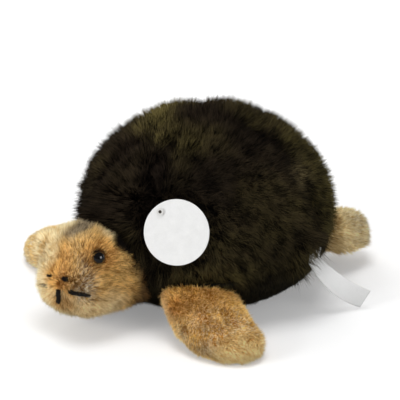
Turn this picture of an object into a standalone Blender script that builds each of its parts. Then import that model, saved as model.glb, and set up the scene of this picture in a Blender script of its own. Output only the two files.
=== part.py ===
"""A stuffed plush turtle, sewn from long-pile and short-pile plush, resting on its belly and four limbs.

The head points along -Y, the turtle's left side is +X and up is +Z. All lengths are in metres. The body is a
domed shell of five sewn panels over a belly panel. The head, the flippers and the rear legs are cloth sleeves
round their own stuffing, each one cut back where it meets the body, so that it can bend at its sewn root.
"""

import math
from dataclasses import dataclass

import bmesh
import bpy
import numpy as np
from mathutils import Matrix, Vector

# Cloth and clearances
CLOTH = 0.0020
SEAM_GAP = 0.0003
STUFFING_GAP = 0.0007
OVERRUN = 0.0040

# Body: its widest line runs level round the shell, with the crown above it and the belly below
BODY_HALF_WIDTH = 0.0670
BODY_HALF_LENGTH = 0.0705
WIDEST_LINE_HEIGHT = 0.0410
CROWN_RISE = 0.0620
BELLY_SINK = 0.0005
BELLY_DROP = WIDEST_LINE_HEIGHT + BELLY_SINK
BELLY_SQUARENESS_SHARE = 2.5
CROWN_OPENING_RADIUS = 0.0020
RIM_RISE_DEG = -12

# Shell panels: the turn of each seam at the widest line, and how far it leans by the crown
PANEL_SEAM_TURNS_DEG = (-26, 26, 118, 180, 242, 334)
PANEL_SEAM_LEANS_DEG = (18, -18, 0, 0, 0, 18)
PANEL_NAMES = ("shell_front_panel", "shell_left_panel", "shell_rear_left_panel", "shell_rear_right_panel",
               "shell_right_panel")

# Head: measured from the middle of its sewn neck
NECK_HEIGHT = 0.0240
NECK_SET_BACK = 0.0096
HEAD_REACH = 0.0490
HEAD_HALF_WIDTH = 0.0255
HEAD_CROWN_RISE = 0.0330
HEAD_CHIN_DROP = 0.0135
HEAD_YAW_DEG = 11
HEAD_ROLL_DEG = -7
HEAD_SQUARENESS_SHARE = 3.0
HEAD_NOD_DEG = (-6, 8)
HEAD_STATION_SHARES = (
    # forward, half width, chin, crown
    (-0.34, 0.74, 0.60, 0.20),
    (0.00, 1.05, 0.98, 0.50),
    (0.20, 1.03, 1.02, 0.82),
    (0.38, 1.01, 1.00, 0.98),
    (0.56, 0.97, 1.00, 1.00),
    (0.72, 0.88, 0.98, 0.94),
    (0.86, 0.78, 0.80, 0.66),
    (0.96, 0.60, 0.42, 0.45),
    (1.00, 0.00, -0.45, 0.17),
)

# Eyes, each a domed button on a shank that a washer holds inside the head
EYE_RADIUS = 0.0032
EYE_DOME_HEIGHT = 0.0024
EYE_EDGE = 0.0004
EYE_SHANK_RADIUS = 0.0009
EYE_SHANK_LENGTH = 0.0080
EYE_STATION_SHARE = 0.635
EYE_ANGLE_DEG = 29
WASHER_RADIUS = 0.0040
WASHER_THICKNESS = 0.0010
WASHER_SINK = 0.0022

# Nose and mouth, embroidered in thick thread. Heights are from the neck's middle
THREAD_RADIUS = 0.0007
NOSTRIL_LENGTH = 0.0022
NOSTRIL_STATION_SHARE = 0.91
NOSTRIL_ANGLE_DEG = 67
MOUTH_HEIGHT = 0.0012
MOUTH_HALF_DROP = 0.0034
MOUTH_LINE_HEIGHT = 0.0052
MOUTH_CORNER_HEIGHT = 0.0036
MOUTH_STATION_SHARE = 0.92
MOUTH_CORNER_STATION_SHARE = 0.80
MOST_STATION_SHARE = 0.98

# Front flippers, measured from the middle of the sewn root
FLIPPER_ROOT_TURN_DEG = 51.0
FLIPPER_ROOT_HEIGHT = 0.0175
FLIPPER_HEADING_DEG = 71.5
FLIPPER_LENGTH = 0.0499
FLIPPER_BEND = -0.0095
FLIPPER_HALF_WIDTH = 0.0205
FLIPPER_HALF_THICKNESS = 0.0128
FLIPPER_THINNING_SHARE = 0.10
FLIPPER_TIP_HEIGHT = 0.0052
FLIPPER_LIFT_DEG = (-10, 15)

# Rear legs, measured the same way
LEG_ROOT_TURN_DEG = 157
LEG_ROOT_HEIGHT = 0.0198
LEG_HEADING_DEG = 174
LEG_LENGTH = 0.0335
LEG_BEND = -0.0080
LEG_HALF_WIDTH = 0.0112
LEG_HALF_THICKNESS = 0.0166
LEG_THINNING_SHARE = 0.05
LEG_TIP_HEIGHT = 0.0154
LEG_LIFT_DEG = (-8, 10)

# Tail, a small folded point of the same plush
TAIL_TURN_DEG = 180
TAIL_ROOT_HEIGHT = 0.0240
TAIL_LENGTH = 0.0150
TAIL_BEND = 0.0
TAIL_HALF_WIDTH = 0.0060
TAIL_HALF_THICKNESS = 0.0042
TAIL_THINNING_SHARE = 0.45
TAIL_TIP_HEIGHT = 0.0200

# How a limb's outline and its thickness run from root to tip
LIMB_BURIED_SHARE = 0.30
LIMB_ROOT_WIDTH_SHARE = 0.97
LIMB_FULL_AT_SHARE = 0.45
LIMB_DROOP_POWER_SHARE = 1.6
LIMB_TIP_POWER_SHARE = 4
LIMB_SQUARENESS_SHARE = 2.15

# Round hang tag of card on its plastic pin
TAG_RADIUS = 0.0176
TAG_THICKNESS = 0.0008
TAG_TURN_DEG = 40.5
TAG_RISE_DEG = 17
TAG_STAND_OFF = 0.0006
TAG_HOLE_RADIUS = 0.0014
TAG_PIN_OFFSET = 0.0139
TAG_PIN_CLOCK_DEG = 42
PIN_HEAD_RADIUS = 0.0019
PIN_HEAD_THICKNESS = 0.0007
PIN_SHANK_RADIUS = 0.0006
PIN_DEPTH = 0.0090
PIN_BAR_LENGTH = 0.0070
PIN_BAR_RADIUS = 0.0008

# Woven side label: a tab riveted flat on the shell, and the flag that stands out from the tab's fold.
# The flag's reach runs out from the shell, back along it and down
LABEL_WIDTH = 0.0110
LABEL_THICKNESS = 0.0006
LABEL_TURN_DEG = 111
LABEL_FOLD_RISE_DEG = -10.5
LABEL_TAB_RISE_DEG = -4.5
LABEL_FOLD_GAP = 0.0006
LABEL_REACH = (0.0212, 0.0185, -0.0245)
LABEL_SPREAD_DEG = 45
LABEL_FULLNESS_SHARE = 0.36
LABEL_END_EDGE_SHARES = (0.48, 0.42, 0.77)
LABEL_END_COURSE_SHARES = (0.43, 0.78, -0.46)
RIVET_RADIUS = 0.0019
RIVET_HEIGHT = 0.0009
RIVET_SHANK_RADIUS = 0.0007
RIVET_DEPTH = 0.0070
RIVET_WASHER_RADIUS = 0.0024
RIVET_WASHER_THICKNESS = 0.0006
RIVET_WASHER_SINK = 0.0012

# Counts of facets
PANEL_COLUMN_DEG = 8.7
PANEL_ROWS = 12
BELLY_COLUMNS = 36
BELLY_ROWS = 7
STUFFING_COLUMNS = 36
STUFFING_ROWS = 16
CUTTER_COLUMNS = 40
CUTTER_ROWS = 20
HEAD_ROWS = 15
HEAD_HALF_COLUMNS = 10
LIMB_ROWS = 11
LIMB_HALF_COLUMNS = 8
ROUND_SIDES = 16
TAG_SIDES = 48
LABEL_ROWS = 13
LABEL_TAB_ROWS = 5
LABEL_TAB_COLUMNS = 7
EYE_ARC_STEP_DEG = 18
THREAD_POINTS = 7

MERGE_DISTANCE = 0.000001
SMOOTH_BELOW_DEG = 40
PROBE_ANGLE_DEG = 0.1
PROBE_STATION_SHARE = 0.002


@dataclass(frozen=True)
class Limb:
    """One sewn limb: where its root sits on the body, where it points and how big it is."""

    root_turn_deg: float
    root_height: float
    heading_deg: float
    length: float
    bend: float
    half_width: float
    half_thickness: float
    thinning_share: float
    tip_height: float


FLIPPER = Limb(FLIPPER_ROOT_TURN_DEG, FLIPPER_ROOT_HEIGHT, FLIPPER_HEADING_DEG, FLIPPER_LENGTH, FLIPPER_BEND,
               FLIPPER_HALF_WIDTH, FLIPPER_HALF_THICKNESS, FLIPPER_THINNING_SHARE, FLIPPER_TIP_HEIGHT)
REAR_LEG = Limb(LEG_ROOT_TURN_DEG, LEG_ROOT_HEIGHT, LEG_HEADING_DEG, LEG_LENGTH, LEG_BEND,
                LEG_HALF_WIDTH, LEG_HALF_THICKNESS, LEG_THINNING_SHARE, LEG_TIP_HEIGHT)
TAIL = Limb(TAIL_TURN_DEG, TAIL_ROOT_HEIGHT, TAIL_TURN_DEG, TAIL_LENGTH, TAIL_BEND,
            TAIL_HALF_WIDTH, TAIL_HALF_THICKNESS, TAIL_THINNING_SHARE, TAIL_TIP_HEIGHT)


def signed_power(values, power):
    """The power of each value's size, with the value's own sign."""
    return np.sign(values) * np.abs(values) ** power


def smooth_rows(table, positions):
    """Rows of a table read between its lines along a Catmull-Rom curve; positions run from 0 to 1."""
    table = np.asarray(table, float)
    last = len(table) - 1
    place = np.clip(np.asarray(positions, float) * last, 0, last)
    index = np.minimum(place.astype(int), last - 1)
    part = (place - index)[..., None]
    before, start = table[np.maximum(index - 1, 0)], table[index]
    end, after = table[index + 1], table[np.minimum(index + 2, last)]
    slope_in, slope_out = (end - before) / 2, (after - start) / 2
    return (start * (2 * part**3 - 3 * part**2 + 1) + slope_in * (part**3 - 2 * part**2 + part)
            + end * (3 * part**2 - 2 * part**3) + slope_out * (part**3 - part**2))


def body_points(turn, rise, inset):
    """Points of the body, set in from its skin. turn runs from the front towards the turtle's left and rise from
    the widest line, both in radians. The upper half is an ellipsoid. The lower half is squarer: the powers p of
    its spread and drop add up to 1. Its lowest part lies flat on the ground."""
    below = rise < 0
    power = np.where(below, 2 / BELLY_SQUARENESS_SHARE, 1)
    around = np.abs(np.cos(rise)) ** power
    upward = signed_power(np.sin(rise), power)
    height = np.where(below, BELLY_DROP, CROWN_RISE) - inset
    x = (BODY_HALF_WIDTH - inset) * around * np.sin(turn)
    y = -(BODY_HALF_LENGTH - inset) * around * np.cos(turn)
    z = np.maximum(WIDEST_LINE_HEIGHT + height * upward, inset)
    return np.stack(np.broadcast_arrays(x, y, z), axis=-1)


def body_normal(turn, rise):
    """The outward direction of the body's skin at one place."""
    step = math.radians(PROBE_ANGLE_DEG)
    along = body_points(turn + step, rise, 0) - body_points(turn - step, rise, 0)
    upward = body_points(turn, rise + step, 0) - body_points(turn, rise - step, 0)
    return Vector(np.cross(along, upward)).normalized()


def rise_at_height(height):
    """The rise of the body's skin at a height above the ground."""
    drop = height - WIDEST_LINE_HEIGHT
    if drop > 0:
        return math.asin(drop / CROWN_RISE)
    return -math.asin((-drop / BELLY_DROP) ** (BELLY_SQUARENESS_SHARE / 2))


def neck_place():
    """The middle of the sewn neck, just inside the body's front."""
    front = body_points(0.0, rise_at_height(NECK_HEIGHT), 0)
    return Vector((0, front[1] + NECK_SET_BACK, NECK_HEIGHT))


def head_turned():
    """The head's place and its turn to the side and over, as sewn on."""
    yaw = Matrix.Rotation(math.radians(HEAD_YAW_DEG), 4, "Z")
    roll = Matrix.Rotation(math.radians(HEAD_ROLL_DEG), 4, "Y")
    return Matrix.Translation(neck_place()) @ yaw @ roll


def head_points(station, angle, inset):
    """Points of the head round its neck. station runs from the neck at 0 to the nose at 1, and angle from the
    left side upwards, in radians. Each section is a squared ellipse between chin and crown."""
    forward, width, chin, crown = np.moveaxis(smooth_rows(HEAD_STATION_SHARES, station), -1, 0)
    half_width = np.maximum(HEAD_HALF_WIDTH * width - inset, 0)
    top = HEAD_CROWN_RISE * crown
    bottom = -HEAD_CHIN_DROP * chin
    half_height = np.maximum((top - bottom) / 2 - inset, 0)
    power = 2 / HEAD_SQUARENESS_SHARE
    x = half_width * signed_power(np.cos(angle), power)
    y = -forward * (HEAD_REACH - inset)
    z = (top + bottom) / 2 + half_height * signed_power(np.sin(angle), power)
    return np.stack(np.broadcast_arrays(x, y, z), axis=-1)


def head_normal(station, angle):
    """The outward direction of the head's skin at one place."""
    turn, step = math.radians(PROBE_ANGLE_DEG), PROBE_STATION_SHARE
    forward = head_points(station + step, angle, 0) - head_points(station - step, angle, 0)
    upward = head_points(station, angle + turn, 0) - head_points(station, angle - turn, 0)
    return Vector(np.cross(upward, forward)).normalized()


def limb_root(limb):
    """The middle of a limb's sewn root, on the body's skin."""
    return body_points(math.radians(limb.root_turn_deg), rise_at_height(limb.root_height), 0)


def limb_points(limb, along, angle, inset):
    """Points of a left-hand limb. along runs from the root at 0 to the tip at 1, and angle from the leading edge
    over the top, in radians. The path leaves the root, sinks to the ground and bends forward with the square
    of the distance. The outline closes as the root of 1 - along^4, and the sole lies flat on the ground."""
    heading = math.radians(limb.heading_deg)
    outward = np.array([math.sin(heading), -math.cos(heading), 0])
    sideways = np.array([-math.cos(heading), -math.sin(heading), 0])
    shown = np.clip(along, 0, 1)
    full = np.sin(np.minimum(shown / LIMB_FULL_AT_SHARE, 1) * math.pi / 2)
    closing = np.sqrt(1 - shown**LIMB_TIP_POWER_SHARE)
    width_share = LIMB_ROOT_WIDTH_SHARE + (1 - LIMB_ROOT_WIDTH_SHARE) * full
    half_width = (limb.half_width * width_share - inset) * closing
    half_thickness = (limb.half_thickness * (1 - limb.thinning_share * shown) - inset) * closing
    reach = along * (limb.length - inset)
    droop = (1 - np.minimum(along, 1)) ** LIMB_DROOP_POWER_SHARE
    middle_height = limb.tip_height + (limb.root_height - limb.tip_height) * droop
    power = 2 / LIMB_SQUARENESS_SHARE
    side = half_width * signed_power(np.cos(angle), power) + limb.bend * shown**2
    height = middle_height + half_thickness * signed_power(np.sin(angle), power)
    points = limb_root(limb) + reach[..., None] * outward + side[..., None] * sideways
    points[..., 2] = np.maximum(height, inset)
    return points


def grid_faces(rows, columns, start, wraps):
    """Four-cornered faces of a grid of vertices, joined round its columns where it wraps."""
    last = columns if wraps else columns - 1
    return [
        (start + row * columns + column, start + row * columns + (column + 1) % columns,
         start + (row + 1) * columns + (column + 1) % columns, start + (row + 1) * columns + column)
        for row in range(rows - 1) for column in range(last)
    ]


def finish_mesh(name, points, faces):
    """A closed mesh from points and faces, with its poles merged, its faces outward and its round parts smooth."""
    form = bmesh.new()
    corners = [form.verts.new(point) for point in points]
    for face in faces:
        form.faces.new([corners[index] for index in face])
    bmesh.ops.remove_doubles(form, verts=form.verts, dist=MERGE_DISTANCE)
    loose = [edge for edge in form.edges if not edge.link_faces]
    bmesh.ops.delete(form, geom=loose, context="EDGES")
    bmesh.ops.recalc_face_normals(form, faces=form.faces)
    mesh = bpy.data.meshes.new(name)
    form.to_mesh(mesh)
    form.free()
    mesh.shade_smooth()
    mesh.set_sharp_from_angle(angle=math.radians(SMOOTH_BELOW_DEG))
    return mesh


def closed_form(name, rows_of_points):
    """A stuffed form: rings of points from end to end, each end closed on its middle."""
    ends = rows_of_points.mean(axis=1, keepdims=True)
    first = np.broadcast_to(ends[:1], rows_of_points[:1].shape)
    last = np.broadcast_to(ends[-1:], rows_of_points[:1].shape)
    grid = np.concatenate([first, rows_of_points, last])
    rows, columns = grid.shape[:2]
    return finish_mesh(name, grid.reshape(-1, 3), grid_faces(rows, columns, 0, True))


def cloth_sheet(name, outside, inside, wraps=False):
    """A cloth piece between two grids of points, closed along its edges."""
    rows, columns = outside.shape[:2]
    count = rows * columns
    points = np.concatenate([outside.reshape(-1, 3), inside.reshape(-1, 3)])
    faces = grid_faces(rows, columns, 0, wraps) + grid_faces(rows, columns, count, wraps)
    for row in (0, rows - 1):
        edge = [row * columns + column for column in range(columns)]
        pairs = list(zip(edge, edge[1:] + edge[:1] if wraps else edge[1:]))
        faces += [(one, other, other + count, one + count) for one, other in pairs]
    if not wraps:
        for column in (0, columns - 1):
            edge = [row * columns + column for row in range(rows)]
            faces += [(one, other, other + count, one + count) for one, other in zip(edge, edge[1:])]
    return finish_mesh(name, points, faces)


def finish(name, colour, roughness, metallic=0.0):
    """A material with one colour, roughness and metallic value."""
    material = bpy.data.materials.new(name)
    material.use_nodes = True
    shader = material.node_tree.nodes["Principled BSDF"]
    shader.inputs["Base Color"].default_value = (*colour, 1)
    shader.inputs["Roughness"].default_value = roughness
    shader.inputs["Metallic"].default_value = metallic
    return material


class Toy:
    """The toy's collections, its root and the pivots that its pieces hang on."""

    def __init__(self):
        for leftover in list(bpy.data.objects):
            bpy.data.objects.remove(leftover)
        self.parts = bpy.data.collections.new("plush_turtle")
        self.cutters = bpy.data.collections.new("cutters")
        bpy.context.scene.collection.children.link(self.parts)
        bpy.context.scene.collection.children.link(self.cutters)
        self.root = self.pivot("turtle_root", Matrix.Identity(4), None)
        self.fill = finish("stuffing", (0.82, 0.80, 0.76), 1.0)
        self.eye_finish = finish("eye_black", (0.006, 0.005, 0.005), 0.08)
        self.thread_finish = finish("black_thread", (0.012, 0.010, 0.009), 0.8)
        self.plastic = finish("plastic", (0.10, 0.10, 0.10), 0.45)
        self.clear_of_body = body_form("clear_of_body", -SEAM_GAP, CUTTER_COLUMNS, CUTTER_ROWS)

    def pivot(self, name, placement, parent):
        """An empty at a placement in the body's frame."""
        empty = bpy.data.objects.new(name, None)
        self.parts.objects.link(empty)
        empty.parent = parent
        empty.matrix_basis = placement
        return empty

    def place(self, name, mesh, material, parent, placement, collection=None):
        """An object for a mesh that is modelled in the frame of its placement, hung on a parent."""
        obj = bpy.data.objects.new(name, mesh)
        (collection or self.parts).objects.link(obj)
        mesh.materials.clear()
        if material:
            mesh.materials.append(material)
        obj.parent = parent
        obj.matrix_basis = parent.matrix_basis.inverted() @ placement if parent is not self.root else placement
        return obj

    def cutter(self, name, mesh, placement):
        """A hidden shape in the body's frame that others are cut with."""
        obj = self.place(name, mesh, None, self.root, placement, self.cutters)
        obj.hide_render = True
        obj.display_type = "WIRE"
        return obj


def cut(obj, cutters):
    """Takes each cutter's space out of an object."""
    for cutter in cutters:
        modifier = obj.modifiers.new(cutter.name, "BOOLEAN")
        modifier.operation = "DIFFERENCE"
        modifier.solver = "EXACT"
        modifier.object = cutter


def facing(place, direction):
    """A placement at a point, with its Z axis along a direction and its Y axis as near upright as that allows."""
    return Matrix.Translation(place) @ Vector(direction).to_track_quat("Z", "Y").to_matrix().to_4x4()


def turned(name, profile):
    """A round piece whose profile, in metres from its axis and along it, runs down its outer side."""
    mesh = bpy.data.meshes.new(name)
    mesh.from_pydata([(radius, 0, height) for radius, height in profile],
                     [(index, index + 1) for index in range(len(profile) - 1)], [])
    return mesh


def spin(obj):
    """Turns an object's profile into a closed round piece."""
    modifier = obj.modifiers.new("turning", "SCREW")
    modifier.steps = modifier.render_steps = ROUND_SIDES
    modifier.use_merge_vertices = True
    modifier.merge_threshold = MERGE_DISTANCE
    modifier.use_smooth_shade = True


def cylinder(name, radius, low, high, sides=ROUND_SIDES):
    """A cylinder along Z between two heights."""
    form = bmesh.new()
    bmesh.ops.create_cone(form, cap_ends=True, segments=sides, radius1=radius, radius2=radius, depth=high - low)
    bmesh.ops.translate(form, vec=(0, 0, (high + low) / 2), verts=form.verts)
    mesh = bpy.data.meshes.new(name)
    form.to_mesh(mesh)
    form.free()
    mesh.shade_smooth()
    mesh.set_sharp_from_angle(angle=math.radians(SMOOTH_BELOW_DEG))
    return mesh


def seam_turn(index, rise):
    """The turn of one panel seam, in radians: it leans evenly from the widest line up to the crown."""
    part = np.clip(rise / (math.pi / 2), 0, 1)
    return np.radians(PANEL_SEAM_TURNS_DEG[index] + PANEL_SEAM_LEANS_DEG[index] * part)


def panel_grid(index, inset):
    """One shell panel from the rim to the crown, with half a seam's gap kept along each side."""
    columns = round((PANEL_SEAM_TURNS_DEG[index + 1] - PANEL_SEAM_TURNS_DEG[index]) / PANEL_COLUMN_DEG) + 1
    top = math.acos(CROWN_OPENING_RADIUS / BODY_HALF_WIDTH)
    rise = np.linspace(math.radians(RIM_RISE_DEG), top, PANEL_ROWS)[:, None]
    margin = np.arcsin(SEAM_GAP / 2 / ((BODY_HALF_WIDTH - inset) * np.cos(rise)))
    across = np.linspace(0, 1, columns)[None, :]
    start, end = seam_turn(index, rise) + margin, seam_turn(index + 1, rise) - margin
    return body_points(start + (end - start) * across, rise + 0 * across, inset)


def build_shell(toy):
    """The panels of the shell."""
    colour = finish("long_pile_plush", (0.030, 0.027, 0.017), 0.95)
    for index, name in enumerate(PANEL_NAMES):
        mesh = cloth_sheet(name, panel_grid(index, 0), panel_grid(index, CLOTH))
        toy.place(name, mesh, colour, toy.root, Matrix.Identity(4))


def build_belly(toy):
    """The belly panel, a dish from the shell's rim to the flat that the toy rests on."""
    start = math.radians(RIM_RISE_DEG) - SEAM_GAP / BELLY_DROP
    rise = np.append(np.linspace(start, rise_at_height(0), BELLY_ROWS - 1), -math.pi / 2)[:, None]
    turn = np.linspace(0, 2 * math.pi, BELLY_COLUMNS, endpoint=False)[None, :]
    outside = body_points(turn, rise, 0)
    mesh = cloth_sheet("belly_panel", outside, body_points(turn, rise, CLOTH), wraps=True)
    toy.place("belly_panel", mesh, finish("belly_plush", (0.036, 0.036, 0.019), 0.95), toy.root, Matrix.Identity(4))


def body_form(name, inset, columns, rows):
    """The whole body as one closed form, set in from its skin."""
    rise = np.linspace(-math.pi / 2, math.pi / 2, rows + 2)[1:-1, None]
    turn = np.linspace(0, 2 * math.pi, columns, endpoint=False)[None, :]
    return closed_form(name, body_points(turn, rise, inset))


def build_stuffing(toy):
    """The body's stuffing, one packed form inside the shell and belly."""
    mesh = body_form("body_stuffing", CLOTH + STUFFING_GAP, STUFFING_COLUMNS, STUFFING_ROWS)
    return toy.place("body_stuffing", mesh, toy.fill, toy.root, Matrix.Identity(4))


def body_cutters(toy, name, pivot, axis, range_deg):
    """The body's space, as a piece hinged on a pivot meets it at rest and at both ends of its range."""
    mesh = toy.clear_of_body
    placements = [Matrix.Identity(4)]
    for degrees in range_deg:
        back = Matrix.Rotation(-math.radians(degrees), 4, Vector(axis))
        placements.append(Matrix.Translation(pivot) @ back @ Matrix.Translation(-Vector(pivot)))
    return [toy.cutter(f"{name}_body_{index}", mesh, placement) for index, placement in enumerate(placements)]


def head_grid(from_angle, to_angle, inset, shift):
    """Half of the head's skin, moved off the middle seam."""
    station = np.linspace(0, 1, HEAD_ROWS)[:, None]
    angle = np.linspace(from_angle, to_angle, HEAD_HALF_COLUMNS)[None, :]
    points = head_points(station, angle, inset)
    points[..., 0] += shift
    return points


def build_head(toy):
    """The head's two cloth halves, its stuffing, eyes, nose and mouth."""
    placement = head_turned()
    pivot = toy.pivot("head_pivot", placement, toy.root)
    axis = placement.to_3x3() @ Vector((1, 0, 0))
    clear = body_cutters(toy, "head", placement.translation, axis, HEAD_NOD_DEG)
    plush = finish("head_plush", (0.560, 0.350, 0.150), 0.9)
    quarter = math.pi / 2
    covers = {}
    for side, name, start, end in ((1, "head_left_cover", -quarter, quarter),
                                   (-1, "head_right_cover", quarter, 3 * quarter)):
        shift = side * SEAM_GAP / 2
        mesh = cloth_sheet(name, head_grid(start, end, 0, shift), head_grid(start, end, CLOTH, shift))
        covers[side] = toy.place(name, mesh, plush, pivot, placement)
        cut(covers[side], clear)
    station = np.linspace(0, 1, HEAD_ROWS)[:, None]
    angle = np.linspace(-quarter, 3 * quarter, 2 * HEAD_HALF_COLUMNS - 2, endpoint=False)[None, :]
    mesh = closed_form("head_stuffing", head_points(station, angle, CLOTH + STUFFING_GAP))
    stuffing = toy.place("head_stuffing", mesh, toy.fill, pivot, placement)
    cut(stuffing, clear)
    for side, name in ((1, "left"), (-1, "right")):
        build_eye(toy, name, side, pivot, placement, covers[side], stuffing)
    build_face(toy, pivot, placement)


def build_eye(toy, name, side, pivot, placement, cover, stuffing):
    """One eye button, its washer, and the hole and pocket that they sit in."""
    angle = math.radians(EYE_ANGLE_DEG)
    place = Vector(head_points(np.array(EYE_STATION_SHARE), angle, 0))
    normal = head_normal(np.array(EYE_STATION_SHARE), angle)
    place.x *= side
    normal.x *= side
    seat = placement @ facing(place, normal)
    bottom = SEAM_GAP + EYE_EDGE
    arc = [math.radians(degrees) for degrees in range(90, -1, -EYE_ARC_STEP_DEG)]
    dome = [(EYE_RADIUS * math.cos(step), bottom + EYE_DOME_HEIGHT * math.sin(step)) for step in arc]
    profile = [(0, bottom + EYE_DOME_HEIGHT), *dome[1:], (EYE_RADIUS, SEAM_GAP), (EYE_SHANK_RADIUS, SEAM_GAP),
               (EYE_SHANK_RADIUS, -EYE_SHANK_LENGTH), (0, -EYE_SHANK_LENGTH)]
    eye = toy.place(f"{name}_eye", turned(f"{name}_eye", profile), toy.eye_finish, pivot, seat)
    spin(eye)
    top = -CLOTH - WASHER_SINK
    hole = EYE_SHANK_RADIUS + SEAM_GAP
    profile = [(hole, top), (WASHER_RADIUS, top), (WASHER_RADIUS, top - WASHER_THICKNESS),
               (hole, top - WASHER_THICKNESS), (hole, top)]
    washer = toy.place(f"{name}_eye_washer", turned(f"{name}_eye_washer", profile), toy.plastic, pivot, seat)
    spin(washer)
    shank_hole = cylinder(f"{name}_eye_hole", hole, -EYE_SHANK_LENGTH, OVERRUN)
    cut(cover, [toy.cutter(f"{name}_eye_hole", shank_hole, seat)])
    pocket = cylinder(f"{name}_eye_pocket", WASHER_RADIUS + SEAM_GAP, -EYE_SHANK_LENGTH - SEAM_GAP, OVERRUN)
    cut(stuffing, [toy.cutter(f"{name}_eye_pocket", pocket, seat)])


def thread(toy, name, points, pivot, placement):
    """A thick embroidered stitch along points in the head's frame."""
    curve = bpy.data.curves.new(name, "CURVE")
    curve.dimensions = "3D"
    curve.bevel_depth = THREAD_RADIUS
    curve.bevel_resolution = 1
    curve.use_fill_caps = True
    line = curve.splines.new("POLY")
    line.points.add(len(points) - 1)
    for spot, point in zip(line.points, points):
        spot.co = (*point, 1)
    return toy.place(name, curve, toy.thread_finish, pivot, placement)


def above_head(station, angle, clear):
    """A point a set distance outside the head's skin."""
    place = Vector(head_points(np.array(station), angle, 0))
    return place + head_normal(np.array(station), angle) * clear


def angle_at(station, height, side):
    """The angle round the head's section at which its skin is at a height above the neck, on one side."""
    shares = smooth_rows(HEAD_STATION_SHARES, np.array(station))
    top, bottom = HEAD_CROWN_RISE * shares[3], -HEAD_CHIN_DROP * shares[2]
    share = (height - (top + bottom) / 2) / ((top - bottom) / 2)
    upward = math.asin(float(signed_power(np.array(share), HEAD_SQUARENESS_SHARE / 2)))
    return upward if side > 0 else math.pi - upward


def chin_line(height, clear):
    """A point outside the middle of the head's front, at a height below the nose's tip."""
    stations = np.linspace(MOUTH_CORNER_STATION_SHARE, MOST_STATION_SHARE, HEAD_ROWS)
    heights = head_points(stations, -math.pi / 2, 0)[:, 2]
    return above_head(np.interp(height, heights, stations), -math.pi / 2, clear)


def build_face(toy, pivot, placement):
    """Two nostril stitches, the upright mouth stitch and the mouth's two sides, all laid on the skin."""
    clear = THREAD_RADIUS + SEAM_GAP
    part = np.linspace(0, 1, THREAD_POINTS)
    stations = MOUTH_STATION_SHARE + (MOUTH_CORNER_STATION_SHARE - MOUTH_STATION_SHARE) * part
    heights = MOUTH_LINE_HEIGHT + (MOUTH_CORNER_HEIGHT - MOUTH_LINE_HEIGHT) * part
    for side, name in ((1, "left"), (-1, "right")):
        points = [above_head(station, angle_at(station, height, side), clear)
                  for station, height in zip(stations, heights)]
        thread(toy, f"{name}_mouth_stitch", points, pivot, placement)
        centre = above_head(NOSTRIL_STATION_SHARE, math.radians(NOSTRIL_ANGLE_DEG), clear)
        half = Vector((NOSTRIL_LENGTH / 2, 0, 0))
        centre.x *= side
        thread(toy, f"{name}_nostril_stitch", [centre - half, centre + half], pivot, placement)
    heights = np.linspace(MOUTH_HEIGHT - MOUTH_HALF_DROP, MOUTH_HEIGHT + MOUTH_HALF_DROP, THREAD_POINTS)
    points = [chin_line(height, clear) for height in heights]
    thread(toy, "mouth_centre_stitch", points, pivot, placement)


def mirrored(points):
    """The same points on the turtle's right."""
    return points * np.array([-1, 1, 1])


def build_limb(toy, name, limb, side, range_deg, plush):
    """A limb of two cloth halves round its stuffing, hinged along its sewn root."""
    root = Vector(limb_root(limb))
    turn = math.radians(limb.root_turn_deg)
    ahead = turn + math.radians(PROBE_ANGLE_DEG)
    along_root = body_points(ahead, rise_at_height(limb.root_height), 0) - np.array(root)
    axis = -Vector(along_root).normalized()
    if side < 0:
        root.x = -root.x
        axis = Vector((axis.x, -axis.y, -axis.z))
    placement = Matrix.Translation(root)
    pivot = toy.pivot(f"{name}_pivot", placement, toy.root)
    clear = body_cutters(toy, name, root, axis, range_deg)
    along = np.sin(np.linspace(-math.asin(LIMB_BURIED_SHARE), math.pi / 2, LIMB_ROWS))[:, None]
    pieces = []
    for half, start, end in (("upper", 0, math.pi), ("lower", math.pi, 2 * math.pi)):
        angle = np.linspace(start, end, LIMB_HALF_COLUMNS)[None, :]
        outside = limb_points(limb, along + 0 * angle, angle, 0)
        inside = limb_points(limb, along + 0 * angle, angle, CLOTH)
        lift = SEAM_GAP / 2 if half == "upper" else -SEAM_GAP / 2
        for grid in (outside, inside):
            grid[..., 2] = np.where(half == "upper", grid[..., 2] + lift, np.maximum(grid[..., 2] + lift, 0))
        pieces.append((f"{name}_{half}_cover", cloth_sheet, (outside, inside), plush))
    angle = np.linspace(0, 2 * math.pi, 2 * LIMB_HALF_COLUMNS - 2, endpoint=False)[None, :]
    stuffed = limb_points(limb, along + 0 * angle, angle, CLOTH + STUFFING_GAP)
    pieces.append((f"{name}_stuffing", closed_form, (stuffed,), toy.fill))
    for piece_name, make, grids, material in pieces:
        shown = [mirrored(grid) if side < 0 else grid for grid in grids]
        mesh = make(piece_name, *[grid - np.array(root) for grid in shown])
        cut(toy.place(piece_name, mesh, material, pivot, placement), clear)


def build_tail(toy, plush):
    """The small tail, sewn fast under the shell's rear rim."""
    along = np.sin(np.linspace(-math.asin(LIMB_BURIED_SHARE), math.pi / 2, LIMB_ROWS))[:, None]
    angle = np.linspace(0, 2 * math.pi, 2 * LIMB_HALF_COLUMNS - 2, endpoint=False)[None, :]
    mesh = closed_form("tail", limb_points(TAIL, along + 0 * angle, angle, 0))
    tail = toy.place("tail", mesh, plush, toy.root, Matrix.Identity(4))
    cut(tail, body_cutters(toy, "tail", Vector((0, 0, 0)), (1, 0, 0), ()))


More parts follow.
